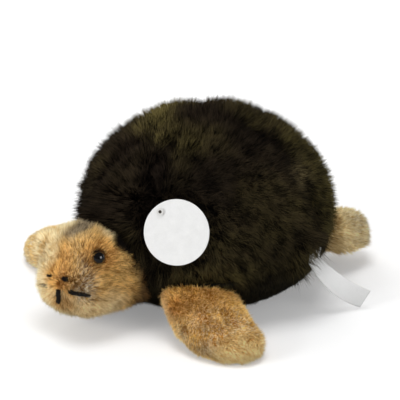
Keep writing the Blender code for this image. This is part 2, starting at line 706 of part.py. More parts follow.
def build_tag(toy, panel, stuffing):
    """The round card on its plastic pin, lying on the shell's left panel."""
    turn, rise = math.radians(TAG_TURN_DEG), math.radians(TAG_RISE_DEG)
    normal = body_normal(turn, rise)
    centre = Vector(body_points(turn, rise, 0)) + normal * TAG_STAND_OFF
    upward = (Vector((0, 0, 1)) - normal * normal.z).normalized()
    rightward = upward.cross(normal)
    clock = math.radians(TAG_PIN_CLOCK_DEG)
    pin_place = centre + (upward * math.cos(clock) - rightward * math.sin(clock)) * TAG_PIN_OFFSET
    at_pin = facing(pin_place, normal)
    pivot = toy.pivot("hang_tag_pivot", at_pin, toy.root)
    mesh = cylinder("hang_tag", TAG_RADIUS, 0, TAG_THICKNESS, TAG_SIDES)
    tag = toy.place("hang_tag", mesh, finish("card", (0.85, 0.85, 0.84), 0.5), pivot, facing(centre, normal))
    hole = cylinder("hang_tag_hole", TAG_HOLE_RADIUS, -OVERRUN, OVERRUN)
    cut(tag, [toy.cutter("hang_tag_hole", hole, at_pin)])

    top = TAG_THICKNESS + SEAM_GAP
    profile = [(0, top + PIN_HEAD_THICKNESS), (PIN_HEAD_RADIUS, top + PIN_HEAD_THICKNESS), (PIN_HEAD_RADIUS, top),
               (PIN_SHANK_RADIUS, top), (PIN_SHANK_RADIUS, -PIN_DEPTH), (0, -PIN_DEPTH)]
    pin = toy.place("tag_pin", turned("tag_pin", profile), toy.plastic, toy.root, at_pin)
    spin(pin)
    bar = cylinder("tag_pin_bar", PIN_BAR_RADIUS, -PIN_BAR_LENGTH / 2, PIN_BAR_LENGTH / 2)
    across = at_pin @ Matrix.Translation((0, 0, -PIN_DEPTH)) @ Matrix.Rotation(math.pi / 2, 4, "Y")
    join = pin.modifiers.new("bar", "BOOLEAN")
    join.operation = "UNION"
    join.solver = "EXACT"
    join.object = toy.cutter("tag_pin_bar", bar, across)

    low = -PIN_DEPTH - PIN_BAR_RADIUS - SEAM_GAP
    shank_hole = cylinder("tag_pin_hole", PIN_SHANK_RADIUS + SEAM_GAP, low, OVERRUN)
    cut(panel, [toy.cutter("tag_pin_hole", shank_hole, at_pin)])
    pocket = cylinder("tag_pin_pocket", PIN_BAR_LENGTH / 2 + SEAM_GAP, low, OVERRUN)
    cut(stuffing, [toy.cutter("tag_pin_pocket", pocket, at_pin)])


def label_tab_grid(lift):
    """The riveted tab's surface, a set distance off the shell's skin."""
    turn = math.radians(LABEL_TURN_DEG)
    half_turn = LABEL_WIDTH / 2 / BODY_HALF_WIDTH
    turns = np.linspace(turn - half_turn, turn + half_turn, LABEL_TAB_COLUMNS)[None, :]
    low, high = math.radians(LABEL_FOLD_RISE_DEG), math.radians(LABEL_TAB_RISE_DEG)
    rises = np.linspace(high, low, LABEL_TAB_ROWS)[:, None]
    return body_points(turns, rises, -lift)


def label_frame():
    """The middle of the label's fold, and the level directions out from the shell and back along it."""
    turn, rise = math.radians(LABEL_TURN_DEG), math.radians(LABEL_FOLD_RISE_DEG)
    normal = body_normal(turn, rise)
    outward = Vector((normal.x, normal.y, 0)).normalized()
    backward = Vector((-outward.y, outward.x, 0))
    fold = Vector(body_points(turn, rise, 0)) + normal * (SEAM_GAP + LABEL_THICKNESS / 2)
    return fold - Vector((0, 0, 1)) * LABEL_FOLD_GAP, outward, backward


def label_flag_grids(outward, backward):
    """The flag's two faces, measured from its fold. Its middle line is a cubic Bezier curve, and its breadth
    turns evenly from the fold's direction to that of its free edge."""
    frame = np.array([outward, backward, (0, 0, 1)])
    spread = math.radians(LABEL_SPREAD_DEG)
    first = np.array([math.sin(spread), 0, -math.cos(spread)]) @ frame
    last = np.array(LABEL_END_COURSE_SHARES) @ frame
    end = np.array(LABEL_REACH) @ frame
    pull = np.linalg.norm(end) * LABEL_FULLNESS_SHARE
    part = np.linspace(0, 1, LABEL_ROWS)[:, None]
    middle = (3 * part * (1 - part) ** 2 * first * pull + 3 * part**2 * (1 - part) * (end - last * pull)
              + part**3 * end)
    course = np.gradient(middle, axis=0)
    course /= np.linalg.norm(course, axis=1)[:, None]
    breadth = (1 - part) * np.array(backward) + part * (np.array(LABEL_END_EDGE_SHARES) @ frame)
    breadth -= (breadth * course).sum(axis=1)[:, None] * course
    breadth /= np.linalg.norm(breadth, axis=1)[:, None]
    facing_out = np.cross(breadth, course)
    sides = np.array([-1, 1])[:, None] * LABEL_WIDTH / 2
    centre = middle[:, None, :] + sides * breadth[:, None, :]
    half = facing_out[:, None, :] * LABEL_THICKNESS / 2
    return centre + half, centre - half


def build_label(toy, panel, stuffing):
    """The woven ribbon in its two parts, its rivet and the washer behind the cloth."""
    ribbon = finish("woven_ribbon", (0.86, 0.85, 0.84), 0.6)
    steel = finish("rivet_metal", (0.62, 0.56, 0.42), 0.3, 1)
    mesh = cloth_sheet("label_tab", label_tab_grid(SEAM_GAP + LABEL_THICKNESS), label_tab_grid(SEAM_GAP))
    tab = toy.place("label_tab", mesh, ribbon, toy.root, Matrix.Identity(4))
    fold, outward, backward = label_frame()
    placement = Matrix.Translation(fold)
    pivot = toy.pivot("side_label_pivot", placement, toy.root)
    toy.place("side_label", cloth_sheet("side_label", *label_flag_grids(outward, backward)), ribbon, pivot, placement)

    turn = math.radians(LABEL_TURN_DEG)
    rise = math.radians((LABEL_FOLD_RISE_DEG + LABEL_TAB_RISE_DEG) / 2)
    seat = facing(body_points(turn, rise, 0), body_normal(turn, rise))
    bore = RIVET_SHANK_RADIUS + SEAM_GAP
    hole = toy.cutter("label_rivet_hole", cylinder("label_rivet_hole", bore, -RIVET_DEPTH, OVERRUN), seat)
    cut(tab, [hole])
    cut(panel, [hole])
    top = SEAM_GAP + LABEL_THICKNESS + SEAM_GAP
    profile = [(0, top + RIVET_HEIGHT), (RIVET_RADIUS / 2, top + RIVET_HEIGHT),
               (RIVET_RADIUS, top + RIVET_HEIGHT / 2), (RIVET_RADIUS, top), (RIVET_SHANK_RADIUS, top),
               (RIVET_SHANK_RADIUS, -RIVET_DEPTH), (0, -RIVET_DEPTH)]
    rivet = toy.place("label_rivet", turned("label_rivet", profile), steel, toy.root, seat)
    spin(rivet)
    top = -CLOTH - RIVET_WASHER_SINK
    profile = [(bore, top), (RIVET_WASHER_RADIUS, top), (RIVET_WASHER_RADIUS, top - RIVET_WASHER_THICKNESS),
               (bore, top - RIVET_WASHER_THICKNESS), (bore, top)]
    washer = toy.place("label_rivet_washer", turned("label_rivet_washer", profile), steel, toy.root, seat)
    spin(washer)
    pocket = cylinder("label_rivet_pocket", RIVET_WASHER_RADIUS + SEAM_GAP, -RIVET_DEPTH - SEAM_GAP, OVERRUN)
    cut(stuffing, [toy.cutter("label_rivet_pocket", pocket, seat)])


def stand_on_origin(toy):
    """Moves the root so that the toy stands on the ground with the middle of its outline over the origin."""
    bpy.context.view_layer.update()
    graph = bpy.context.evaluated_depsgraph_get()
    corners = np.array([
        obj.matrix_world @ corner.co
        for obj in toy.parts.objects if obj.type == "MESH"
        for corner in obj.evaluated_get(graph).data.vertices
    ])
    middle = (corners.min(axis=0) + corners.max(axis=0)) / 2
    toy.root.location = (-middle[0], -middle[1], 0)


def build_turtle():
    """The whole toy."""
    toy = Toy()
    build_shell(toy)
    build_belly(toy)
    stuffing = build_stuffing(toy)
    build_head(toy)
    flipper_plush = finish("flipper_plush", (0.520, 0.310, 0.120), 0.9)
    leg_plush = finish("leg_plush", (0.500, 0.370, 0.210), 0.9)
    for side, name in ((1, "left"), (-1, "right")):
        build_limb(toy, f"front_{name}_flipper", FLIPPER, side, FLIPPER_LIFT_DEG, flipper_plush)
        build_limb(toy, f"rear_{name}_leg", REAR_LEG, side, LEG_LIFT_DEG, leg_plush)
    build_tail(toy, leg_plush)
    left_panel = toy.parts.objects["shell_left_panel"]
    build_tag(toy, left_panel, stuffing)
    build_label(toy, left_panel, stuffing)
    stand_on_origin(toy)


build_turtle()
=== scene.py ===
"""A stuffed plush turtle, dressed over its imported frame.

Lengths are in metres, angles in radians unless a name ends in deg. The head points along -Y, the turtle's
left is +X and up is +Z. Every cover is one mesh: a cloth skin with its pile standing on it, strand by
strand. The skins repeat the formulas of the frame's solids, so that each cover lies in the space of its own
solid.
"""

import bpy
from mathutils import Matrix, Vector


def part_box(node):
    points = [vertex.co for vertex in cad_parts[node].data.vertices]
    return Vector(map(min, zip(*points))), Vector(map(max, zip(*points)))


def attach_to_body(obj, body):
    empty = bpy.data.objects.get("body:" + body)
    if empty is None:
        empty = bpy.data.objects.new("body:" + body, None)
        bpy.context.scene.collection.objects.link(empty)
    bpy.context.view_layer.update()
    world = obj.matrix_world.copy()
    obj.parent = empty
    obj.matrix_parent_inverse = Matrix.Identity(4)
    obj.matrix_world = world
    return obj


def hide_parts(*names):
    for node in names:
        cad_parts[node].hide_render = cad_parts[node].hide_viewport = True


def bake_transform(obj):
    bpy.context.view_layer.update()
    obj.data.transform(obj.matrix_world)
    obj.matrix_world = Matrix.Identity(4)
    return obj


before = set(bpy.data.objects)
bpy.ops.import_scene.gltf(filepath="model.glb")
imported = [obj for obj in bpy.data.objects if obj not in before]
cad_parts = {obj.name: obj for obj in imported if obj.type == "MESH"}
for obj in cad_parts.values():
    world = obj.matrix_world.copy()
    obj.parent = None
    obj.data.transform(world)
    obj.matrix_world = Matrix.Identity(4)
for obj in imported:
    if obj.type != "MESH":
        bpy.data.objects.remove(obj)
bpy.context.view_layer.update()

import copy
import logging
import math
from dataclasses import dataclass, field
from enum import Enum

import bpy
import numpy as np
from mathutils import Matrix, Vector

Array = np.ndarray
Colour = tuple[float, float, float, float]
Material = bpy.types.Material
Socket = bpy.types.NodeSocket
Tree = bpy.types.NodeTree

LOG = logging.getLogger("plush_turtle")

CLOTH = 0.0020
BACKING = 0.0012
STUFFING_GAP = 0.0007
SEAM_GAP = 0.0003
QUARTER = math.pi / 2
ROOT_DEPTH = 0.0004
TIP_CLEARANCE = 0.0002
BARE_BELOW = 0.0005
TAG_TURN_DEG = 40.5
TAG_RISE_DEG = 17
TAG_RADIUS = 0.0176
LABEL_TURN_DEG = 111


class Side(Enum):
    """Which side of the turtle a piece is on, as the sign of its X."""

    LEFT = 1
    RIGHT = -1


class Half(Enum):
    """Which cloth of a limb a piece is: its range of angles round the limb, in half turns."""

    UPPER = (0, 1)
    LOWER = (1, 2)


def tone(red: float, green: float, blue: float) -> Colour:
    """A linear colour from its display values, 0 to 255, by the usual power curve with a straight foot."""
    shares = np.array((red, green, blue)) / 255
    linear = np.where(shares <= 0.04045, shares / 12.92, ((shares + 0.055) / 1.055) ** 2.4)
    return (*linear.tolist(), 1.0)


# Fixed random numbers and smooth noise in space


def lattice_random(cells: Array, channel: int) -> Array:
    """A fixed random number for each whole-numbered cell of space: its three numbers times large odd
    numbers, joined bit by bit and stirred twice.

    Args:
        cells: whole numbers, with the three axes last.
        channel: which of the cell's random numbers is wanted.

    Returns:
        One number from 0 to 1 for each cell.
    """
    mixed = (cells[..., 0] * 73856093) ^ (cells[..., 1] * 19349663) ^ (cells[..., 2] * 83492791)
    mixed = (mixed ^ (channel * 2654435761)) & 0xFFFFFFFF
    for _ in range(2):
        mixed = ((mixed ^ (mixed >> 16)) * 0x45D9F3B) & 0xFFFFFFFF
    return (mixed ^ (mixed >> 16)) / 0xFFFFFFFF


def smooth_noise(points: Array, spacing: float, channel: int) -> Array:
    """Smooth noise: the random numbers of the eight cells round a point, mixed by an eased share of each
    side.

    Args:
        points: places, with the three axes last.
        spacing: the size of one cell.
        channel: which noise is wanted.

    Returns:
        One number from -1 to 1 for each point.
    """
    place = points / spacing
    cell = np.floor(place).astype(np.int64)
    part = place - cell
    ease = part * part * (3 - 2 * part)
    total = np.zeros(points.shape[:-1])
    for corner in np.ndindex(2, 2, 2):
        weight = np.where(np.array(corner) == 1, ease, 1 - ease).prod(axis=-1)
        total += weight * lattice_random(cell + np.array(corner), channel)
    return total * 2 - 1


def nearest_lock(points: Array, spacing: float, channel: int) -> tuple[Array, Array]:
    """The lock that each root belongs to: the nearest of the random spots in the 27 cells round it.

    Args:
        points: the roots.
        spacing: the size of one cell, which holds one lock.
        channel: which set of locks is wanted.

    Returns:
        The middle of each root's lock, and the whole-numbered cell that names it.
    """
    home = np.floor(points / spacing).astype(np.int64)
    best = np.full(len(points), np.inf)
    middle = np.zeros_like(points)
    name = np.zeros_like(home)
    for offset in np.ndindex(3, 3, 3):
        cell = home + np.array(offset) - 1
        jitter = np.stack([lattice_random(cell, channel + axis) for axis in range(3)], axis=-1)
        spot = (cell + 0.5 + 0.8 * (jitter - 0.5)) * spacing
        distance = ((points - spot) ** 2).sum(axis=-1)
        closer = distance < best
        best = np.where(closer, distance, best)
        middle = np.where(closer[:, None], spot, middle)
        name = np.where(closer[:, None], cell, name)
    return middle, name


# Small vector helpers


def unit(vectors: Array) -> Array:
    """Each vector over its own length."""
    return vectors / np.maximum(np.linalg.norm(vectors, axis=-1, keepdims=True), 1e-12)


def distances(points: Array, place: Array) -> Array:
    """How far each point is from one place."""
    return np.linalg.norm(points - place, axis=-1)


def along_surface(vectors: Array, normals: Array) -> Array:
    """The unit direction that is left of each vector once its share along the normal is taken out."""
    return unit(vectors - (vectors * normals).sum(axis=-1, keepdims=True) * normals)


def signed_power(values: Array, power: Array | float) -> Array:
    """The power of each value's size, with the value's own sign."""
    return np.sign(values) * np.abs(values) ** power


def hill(values: Array, middle: float, spread: float) -> Array:
    """A bell curve that is 1 at its middle: e to the minus square of the distance in spreads."""
    return np.exp(-(((values - middle) / spread) ** 2))


def ramp(values: Array, low: float, high: float) -> Array:
    """An eased step from 0 at low to 1 at high, which may lie either way round."""
    part = np.clip((values - low) / (high - low), 0, 1)
    return part * part * (3 - 2 * part)


def full_turn(count: int, start: float = 0.0) -> Array:
    """Angles evenly spaced all the way round from a start."""
    return np.linspace(start, start + 2 * math.pi, count, endpoint=False)


def grid(down: Array, across: Array) -> tuple[Array, ...]:
    """Two lists of parameters as a grid, the first down its rows and the second across its columns."""
    return tuple(np.broadcast_arrays(down[:, None], across[None, :]))


# Skins: the surfaces that the cloth follows


class Skin:
    """A closed surface worked out from two parameters, which can also be set in from itself."""

    core = np.zeros(3)
    probe = 0.004
    sink = 0.0

    def sunk(self, depth: float) -> "Skin":
        """The same skin set in by a depth: the backing that a pile stands on."""
        twin = copy.copy(self)
        twin.sink = depth
        return twin

    def points(self, first: Array, second: Array, inset: float = 0.0) -> Array:
        """Points of the skin at two parameters, set in by a distance."""
        raise NotImplementedError

    def normals(self, first: Array, second: Array) -> Array:
        """Outward directions: the cross product of the two small steps along the skin, turned off its
        core."""
        step = self.probe
        one = self.points(first + step, second) - self.points(first - step, second)
        other = self.points(first, second + step) - self.points(first, second - step)
        normal = unit(np.cross(one, other))
        outward = ((self.points(first, second) - self.core) * normal).sum(axis=-1, keepdims=True)
        return normal * np.where(outward < 0, -1, 1)


class BodySkin(Skin):
    """The body: an ellipsoid above its widest line and a squarer form below it, flat on the ground."""

    half_width = 0.0670
    half_length = 0.0705
    widest_height = 0.0410
    crown_rise = 0.0620
    belly_drop = 0.0415
    squareness = 2.5

    def __init__(self) -> None:
        """Finds the body's middle from the frame's own stuffing."""
        low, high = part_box("body_stuffing")
        self.origin = np.array(((low.x + high.x) / 2, (low.y + high.y) / 2, 0))
        self.core = self.origin + np.array((0, 0, self.widest_height))

    def points(self, first: Array, second: Array, inset: float = 0.0) -> Array:
        """Points at a turn from the front to the left and a rise from the widest line. The spread is the
        cosine of the rise and the height its sine, both raised to 2 over the squareness below the widest
        line. A sunk skin is set in at its widths and its crown, so that it still rests on the ground."""
        below = second < 0
        power = np.where(below, 2 / self.squareness, 1)
        around = np.abs(np.cos(second)) ** power
        upward = signed_power(np.sin(second), power)
        height = np.where(below, self.belly_drop, self.crown_rise - self.sink) - inset
        x = (self.half_width - inset - self.sink) * around * np.sin(first)
        y = -(self.half_length - inset - self.sink) * around * np.cos(first)
        z = np.maximum(self.widest_height + height * upward, inset)
        return np.stack(np.broadcast_arrays(x, y, z), axis=-1) + self.origin

    def spot(self, turn_deg: float, rise_deg: float) -> tuple[Array, Array]:
        """A place on the skin and its outward direction, at a turn and a rise in degrees."""
        turn, rise = np.array(math.radians(turn_deg)), np.array(math.radians(rise_deg))
        return self.points(turn, rise), self.normals(turn, rise)

    def rise_at(self, height: float) -> float:
        """The rise of the skin at a height above the ground."""
        drop = height - self.widest_height
        if drop > 0:
            return math.asin(drop / self.crown_rise)
        return -math.asin((-drop / self.belly_drop) ** (self.squareness / 2))

    def depth(self, points: Array, inset: float = 0.0) -> Array:
        """How deep points are: the spread and the height as shares of the set-in skin's, raised to the
        squareness and added up. It is under 1 inside that skin."""
        place = points - self.core
        power = np.where(place[..., 2] < 0, self.squareness, 2)
        spread = np.hypot(place[..., 0] / (self.half_width - inset),
                          place[..., 1] / (self.half_length - inset))
        height = np.where(place[..., 2] < 0, self.belly_drop, self.crown_rise) - inset
        return spread**power + (np.abs(place[..., 2]) / height) ** power

    def turn_and_rise(self, points: Array) -> tuple[Array, Array]:
        """The turn and rise of points near the skin, by their angles once each axis is scaled to a ball."""
        place = points - self.core
        x, y = place[..., 0] / self.half_width, place[..., 1] / self.half_length
        z = place[..., 2] / np.where(place[..., 2] < 0, self.belly_drop, self.crown_rise)
        return np.arctan2(x, -y), np.arctan2(z, np.hypot(x, y))


@dataclass
class PanelSkin(Skin):
    """One shell panel between two seams. The first parameter is the rise and the second the share across
    it."""

    body: BodySkin
    start_deg: tuple[float, float]
    end_deg: tuple[float, float]
    bulk: float
    groove: float = 0.0011
    groove_width: float = 0.0040
    lump: float = 0.0007
    lump_size: float = 0.0240
    probe: float = 0.002

    def __post_init__(self) -> None:
        """Takes the body's core as its own, and the body's skin set in by the pile's bulk as its backing."""
        self.core = self.body.core
        self.backing = self.body.sunk(self.bulk)

    def turns(self, rise: Array, share: Array) -> tuple[Array, Array]:
        """The turn at a rise and a share across, and the distance to the nearer seam. Each seam leans evenly
        from the widest line up to the crown."""
        part = np.clip(rise / QUARTER, 0, 1)
        start = np.radians(self.start_deg[0] + self.start_deg[1] * part)
        end = np.radians(self.end_deg[0] + self.end_deg[1] * part)
        radius = self.body.half_width * np.cos(np.clip(rise, None, QUARTER - 0.02))
        margin = SEAM_GAP / 2 / radius
        turn = start + margin + (end - start - 2 * margin) * share
        return turn, np.minimum(turn - start, end - turn) * radius

    def points(self, first: Array, second: Array, inset: float = 0.0) -> Array:
        """Points of the panel: the body's skin, drawn in at the seams by a bell curve and softly uneven."""
        turn, distance = self.turns(first, second)
        plain = self.body.points(turn, first, 0.0)
        drawn = self.groove * hill(distance, 0, self.groove_width) * ramp(second * 0 + first, -0.3, 0.1)
        drawn = drawn + self.lump * (0.5 + 0.5 * smooth_noise(plain, self.lump_size, 3))
        return self.backing.points(turn, first, inset + drawn)


class HeadSkin(Skin):
    """The head round its neck. The first parameter is the station from neck to nose and the second the angle
    from the turtle's left side upwards."""

    reach = 0.0490
    half_width = 0.0255
    crown_rise = 0.0330
    chin_drop = 0.0135
    yaw_deg = 11
    roll_deg = -7
    squareness = 3.0
    neck_height = 0.0240
    neck_set_back = 0.0096
    nape = 0.0040
    stations = np.array((
        (-0.34, 0.74, 0.60, 0.20),
        (0.00, 1.05, 0.98, 0.50),
        (0.20, 1.03, 1.02, 0.82),
        (0.38, 1.01, 1.00, 0.98),
        (0.56, 0.97, 1.00, 1.00),
        (0.72, 0.88, 0.98, 0.94),
        (0.86, 0.78, 0.80, 0.66),
        (0.96, 0.60, 0.42, 0.45),
        (1.00, 0.00, -0.45, 0.17),
    ))

    def __init__(self, body: BodySkin) -> None:
        """Places the neck on the body's front and turns the head."""
        front = body.points(np.array(0.0), np.array(body.rise_at(self.neck_height)))
        self.neck = np.array((0, front[1] + self.neck_set_back, self.neck_height))
        yaw = Matrix.Rotation(math.radians(self.yaw_deg), 3, "Z")
        roll = Matrix.Rotation(math.radians(self.roll_deg), 3, "Y")
        self.turned = np.array(yaw @ roll)
        self.core = self.neck + self.turned @ np.array((0, -self.reach / 2, self.crown_rise / 4))

    def shares(self, station: Array) -> tuple[Array, ...]:
        """Forward, width, chin and crown shares, read between the stations along a Catmull-Rom curve."""
        last = len(self.stations) - 1
        place = np.clip(station * last, 0, last)
        index = np.minimum(place.astype(int), last - 1)
        part = (place - index)[..., None]
        before, start = self.stations[np.maximum(index - 1, 0)], self.stations[index]
        end, after = self.stations[index + 1], self.stations[np.minimum(index + 2, last)]
        read = (start * (2 * part**3 - 3 * part**2 + 1) + (end - before) / 2 * (part**3 - 2 * part**2 + part)
                + end * (3 * part**2 - 2 * part**3) + (after - start) / 2 * (part**3 - part**2))
        return tuple(np.moveaxis(read, -1, 0))

    def points(self, first: Array, second: Array, inset: float = 0.0) -> Array:
        """Points of the head: each section is a squared ellipse between its chin and its crown."""
        inset = inset + self.sink
        forward, width, chin, crown = self.shares(np.asarray(first, float))
        half_width = np.maximum(self.half_width * width - inset, 0)
        top, bottom = self.crown_rise * crown, -self.chin_drop * chin
        half_height = np.maximum((top - bottom) / 2 - inset, 0)
        power = 2 / self.squareness
        x = half_width * signed_power(np.cos(second), power)
        y = -forward * (self.reach - inset)
        z = (top + bottom) / 2 + half_height * signed_power(np.sin(second), power)
        z = z - self.nape * ramp(np.asarray(first, float), 0.46, 0.28) * ramp(np.sin(second), 0.1, 0.8)
        local = np.stack(np.broadcast_arrays(x, y, z), axis=-1)
        return local @ self.turned.T + self.neck

    def local(self, points: Array) -> Array:
        """Points of the row frame in the head's own frame."""
        return (points - self.neck) @ self.turned


@dataclass
class LimbSkin(Skin):
    """One limb, from its sewn root on the body to its tip. The first parameter is the share along it and the
    second the angle from its leading edge over the top."""

    body: BodySkin
    side: Side
    root_turn_deg: float
    root_height: float
    heading_deg: float
    length: float
    bend: float
    half_width: float
    half_thickness: float
    thinning: float
    tip_height: float
    root_width: float = 0.97
    full_at: float = 0.45
    droop_power: float = 1.6
    tip_power: float = 4.0
    squareness: float = 2.15

    def __post_init__(self) -> None:
        """Places the root on the body's skin."""
        self.root = self.body.points(np.array(math.radians(self.root_turn_deg)),
                                     np.array(self.body.rise_at(self.root_height))) - self.body.origin
        heading = math.radians(self.heading_deg)
        self.outward = np.array((math.sin(heading), -math.cos(heading), 0))
        self.sideways = np.array((-math.cos(heading), -math.sin(heading), 0))
        middle = self.root + self.outward * self.length / 2
        middle[2] = (self.root_height + self.tip_height) / 2
        self.core = self.on_side(middle)

    def on_side(self, points: Array) -> Array:
        """Points of a left-hand limb in the row frame, mirrored for the right-hand side."""
        return points * np.array((self.side.value, 1, 1)) + self.body.origin

    def points(self, first: Array, second: Array, inset: float = 0.0) -> Array:
        """Points of the limb: the outline closes as the root of 1 less the share along to its tip power, the
        path sinks as a power of what is left, and each section is a squared ellipse, flat on the ground."""
        inset = inset + self.sink
        shown = np.clip(first, 0, 1)
        full = np.sin(np.minimum(shown / self.full_at, 1) * QUARTER)
        closing = np.sqrt(1 - shown**self.tip_power)
        width = (self.half_width * (self.root_width + (1 - self.root_width) * full) - inset) * closing
        thickness = (self.half_thickness * (1 - self.thinning * shown) - inset) * closing
        reach = np.minimum(first, 1) * (self.length - inset)
        droop = (1 - np.minimum(first, 1)) ** self.droop_power
        middle = self.tip_height + (self.root_height - self.tip_height) * droop
        power = 2 / self.squareness
        side = width * signed_power(np.cos(second), power) + self.bend * shown**2
        height = np.maximum(middle + thickness * signed_power(np.sin(second), power), inset)
        reach, side, height = np.broadcast_arrays(reach, side, height)
        points = self.root + reach[..., None] * self.outward + side[..., None] * self.sideways
        points[..., 2] = height
        return self.on_side(points)


class SleeveSkin(Skin):
    """A skin that starts where it comes out of the body. The first parameter runs from 0 there to 1 at the
    far end, eased so that its rows lie closer towards that end."""

    steps = 181
    finest = 400
    tuck = 0.0016

    def __init__(self, inner: Skin, body: BodySkin, from_share: float) -> None:
        """Finds, for each angle, the last share along at which the skin is still tucked into the body."""
        self.inner = inner
        self.core = inner.core
        self.angles = np.linspace(-QUARTER, 2 * math.pi + QUARTER, self.steps)
        shares = np.linspace(from_share, 0.9, self.finest)
        inside = body.depth(inner.points(shares[:, None], self.angles[None, :]), self.tuck) < 1
        last = self.finest - 1 - np.argmax(inside[::-1], axis=0)
        self.starts = shares[last]

    def share(self, first: Array, second: Array) -> Array:
        """The inner skin's share along, as the sine of the first parameter between its start and 1."""
        start = np.interp(second, self.angles, self.starts)
        return start + (1 - start) * np.sin(np.clip(first, 0, 1) * QUARTER)

    def points(self, first: Array, second: Array, inset: float = 0.0) -> Array:
        """Points of the sleeve."""
        first, second = np.broadcast_arrays(first, second)
        return self.inner.points(self.share(first, second), second, inset)

    def layers(self, rows: int, angles: tuple[float, float], columns: int) -> tuple[Array, Array]:
        """The outside and the inside of a cloth over a range of angles, each as a grid of points."""
        first, second = grid(np.linspace(0, 1, rows), np.linspace(*angles, columns))
        return self.points(first, second), self.points(first, second, BACKING)

    def filling(self, start: float, rows: int, columns: int, first_angle: float = 0.0) -> Array:
        """Rings of points a gap under the cloth, from a first parameter up to the last ring before the
        tip."""
        first, second = grid(np.linspace(start, 1, rows)[:-1], full_turn(columns, first_angle))
        return self.points(first, second, BACKING + STUFFING_GAP)


# Meshes put together from patches


@dataclass
class Patch:
    """Points of one part of a mesh, with the values that its finish reads at each point and the flat map of
    its faces' corners. faces and flat hold matching arrays, one pair for each number of corners."""

    points: Array
    pile: Array
    marks: Array
    faces: list[Array]
    flat: list[Array]


def grid_quads(rows: int, columns: int, wraps: bool = False) -> Array:
    """Four-cornered faces of a grid of points, joined round its columns where it wraps."""
    row = np.arange(rows - 1)[:, None]
    column = np.arange(columns if wraps else columns - 1)[None, :]
    following = (column + 1) % columns
    corners = np.stack([row * columns + column, row * columns + following,
                        (row + 1) * columns + following, (row + 1) * columns + column], axis=-1)
    return corners.reshape(-1, 4)


def sorted_faces(points: Array, quads: Array, flat: Array) -> tuple[list, list]:
    """Quads with a collapsed side as triangles, the rest as they are. Points in one place count as one.

    Args:
        points: the points.
        quads: four point numbers for each face.
        flat: the flat map's place of each corner.

    Returns:
        The faces and their flat places, each as a list of one array for quads and one for triangles.
    """
    _, first, same = np.unique(np.round(points / 1e-7).astype(np.int64), axis=0, return_index=True,
                               return_inverse=True)
    quads = first[same.reshape(-1)][quads]
    repeats = quads == np.roll(quads, -1, axis=1)
    whole = repeats.sum(axis=1) == 0
    thin = repeats.sum(axis=1) == 1
    spot = np.argmax(repeats[thin], axis=1)[:, None]
    order = (spot + np.array((1, 2, 3))) % 4
    three = np.take_along_axis(quads[thin], order, axis=1)
    three_flat = np.take_along_axis(flat[thin], order[..., None], axis=1)
    return [quads[whole], three], [flat[whole], three_flat]


def bare_patch(points: Array, quads: Array, flat: Array) -> Patch:
    """A patch without pile or marks, from its points, its quads and the flat place of each corner."""
    faces, places = sorted_faces(points, quads, flat)
    return Patch(points, np.zeros((len(points), 4)), np.zeros((len(points), 8)), faces, places)


def cloth(outside: Array, inside: Array, wraps: bool = False) -> Patch:
    """A cloth between two grids of points, closed along its edges and facing outwards.

    Args:
        outside: the outer grid, rows by columns by the three axes.
        inside: the inner grid.
        wraps: whether the last column joins the first.

    Returns:
        The patch. Its flat map has the outer grid, the inner one and a strip for the edges side by side.
    """
    rows, columns = outside.shape[:2]
    count = rows * columns
    points = np.concatenate([outside.reshape(-1, 3), inside.reshape(-1, 3)])
    outer = grid_quads(rows, columns, wraps)
    edges = []
    for row in (0, rows - 1):
        column = np.arange(columns if wraps else columns - 1)
        one, other = row * columns + column, row * columns + (column + 1) % columns
        strip = np.stack([one, other, other + count, one + count], axis=-1)
        edges.append(strip if row else strip[:, ::-1])
    if not wraps:
        for column in (0, columns - 1):
            one = np.arange(rows - 1) * columns + column
            other = one + columns
            strip = np.stack([one, other, other + count, one + count], axis=-1)
            edges.append(strip[:, ::-1] if column else strip)
    quads = np.concatenate([outer, outer[:, ::-1] + count, *edges])
    a, b, d = (outside.reshape(-1, 3)[outer[:, corner]] for corner in (0, 1, 3))
    lift = (outside - inside).reshape(-1, 3)[outer[:, 0]]
    if (np.cross(b - a, d - a) * lift).sum() < 0:
        quads = quads[:, ::-1]
    row, column = np.divmod(np.arange(count), columns)
    place = np.stack([column / columns * 0.11, row / rows], axis=-1) * 0.98 + 0.002
    place = np.concatenate([place, place + np.array((0.12, 0))])
    flat = place[quads]
    first_edge = len(outer) * 2
    number = np.arange(len(quads) - first_edge)[:, None] / max(len(quads) - first_edge, 1)
    corner = np.array(((0, 0), (1, 0), (1, 1), (0, 1))) * np.array((0.008, 0.9 / max(len(number), 1)))
    flat[first_edge:] = corner + np.stack([number * 0 + 0.240, number], axis=-1)
    return bare_patch(points, quads, flat)


def closed_form(rows_of_points: Array) -> Patch:
    """A stuffed form: rings of points from end to end, each end closed on its middle."""
    ends = rows_of_points.mean(axis=1, keepdims=True)
    first = np.broadcast_to(ends[:1], rows_of_points[:1].shape)
    last = np.broadcast_to(ends[-1:], rows_of_points[:1].shape)
    grid = np.concatenate([first, rows_of_points, last])
    rows, columns = grid.shape[:2]
    points = grid.reshape(-1, 3)
    quads = grid_quads(rows, columns, True)
    a, b, d = (points[quads[:, corner]] for corner in (0, 1, 3))
    if (np.cross(b - a, d - a) * (a - points.mean(axis=0))).sum() < 0:
        quads = quads[:, ::-1]
    row, column = np.divmod(np.arange(len(points)), columns)
    place = np.stack([column / columns, row / rows], axis=-1) * 0.98 + 0.002
    return bare_patch(points, quads, place[quads])


def link(obj: bpy.types.Object) -> None:
    """Puts an object into the scene."""
    bpy.context.scene.collection.objects.link(obj)


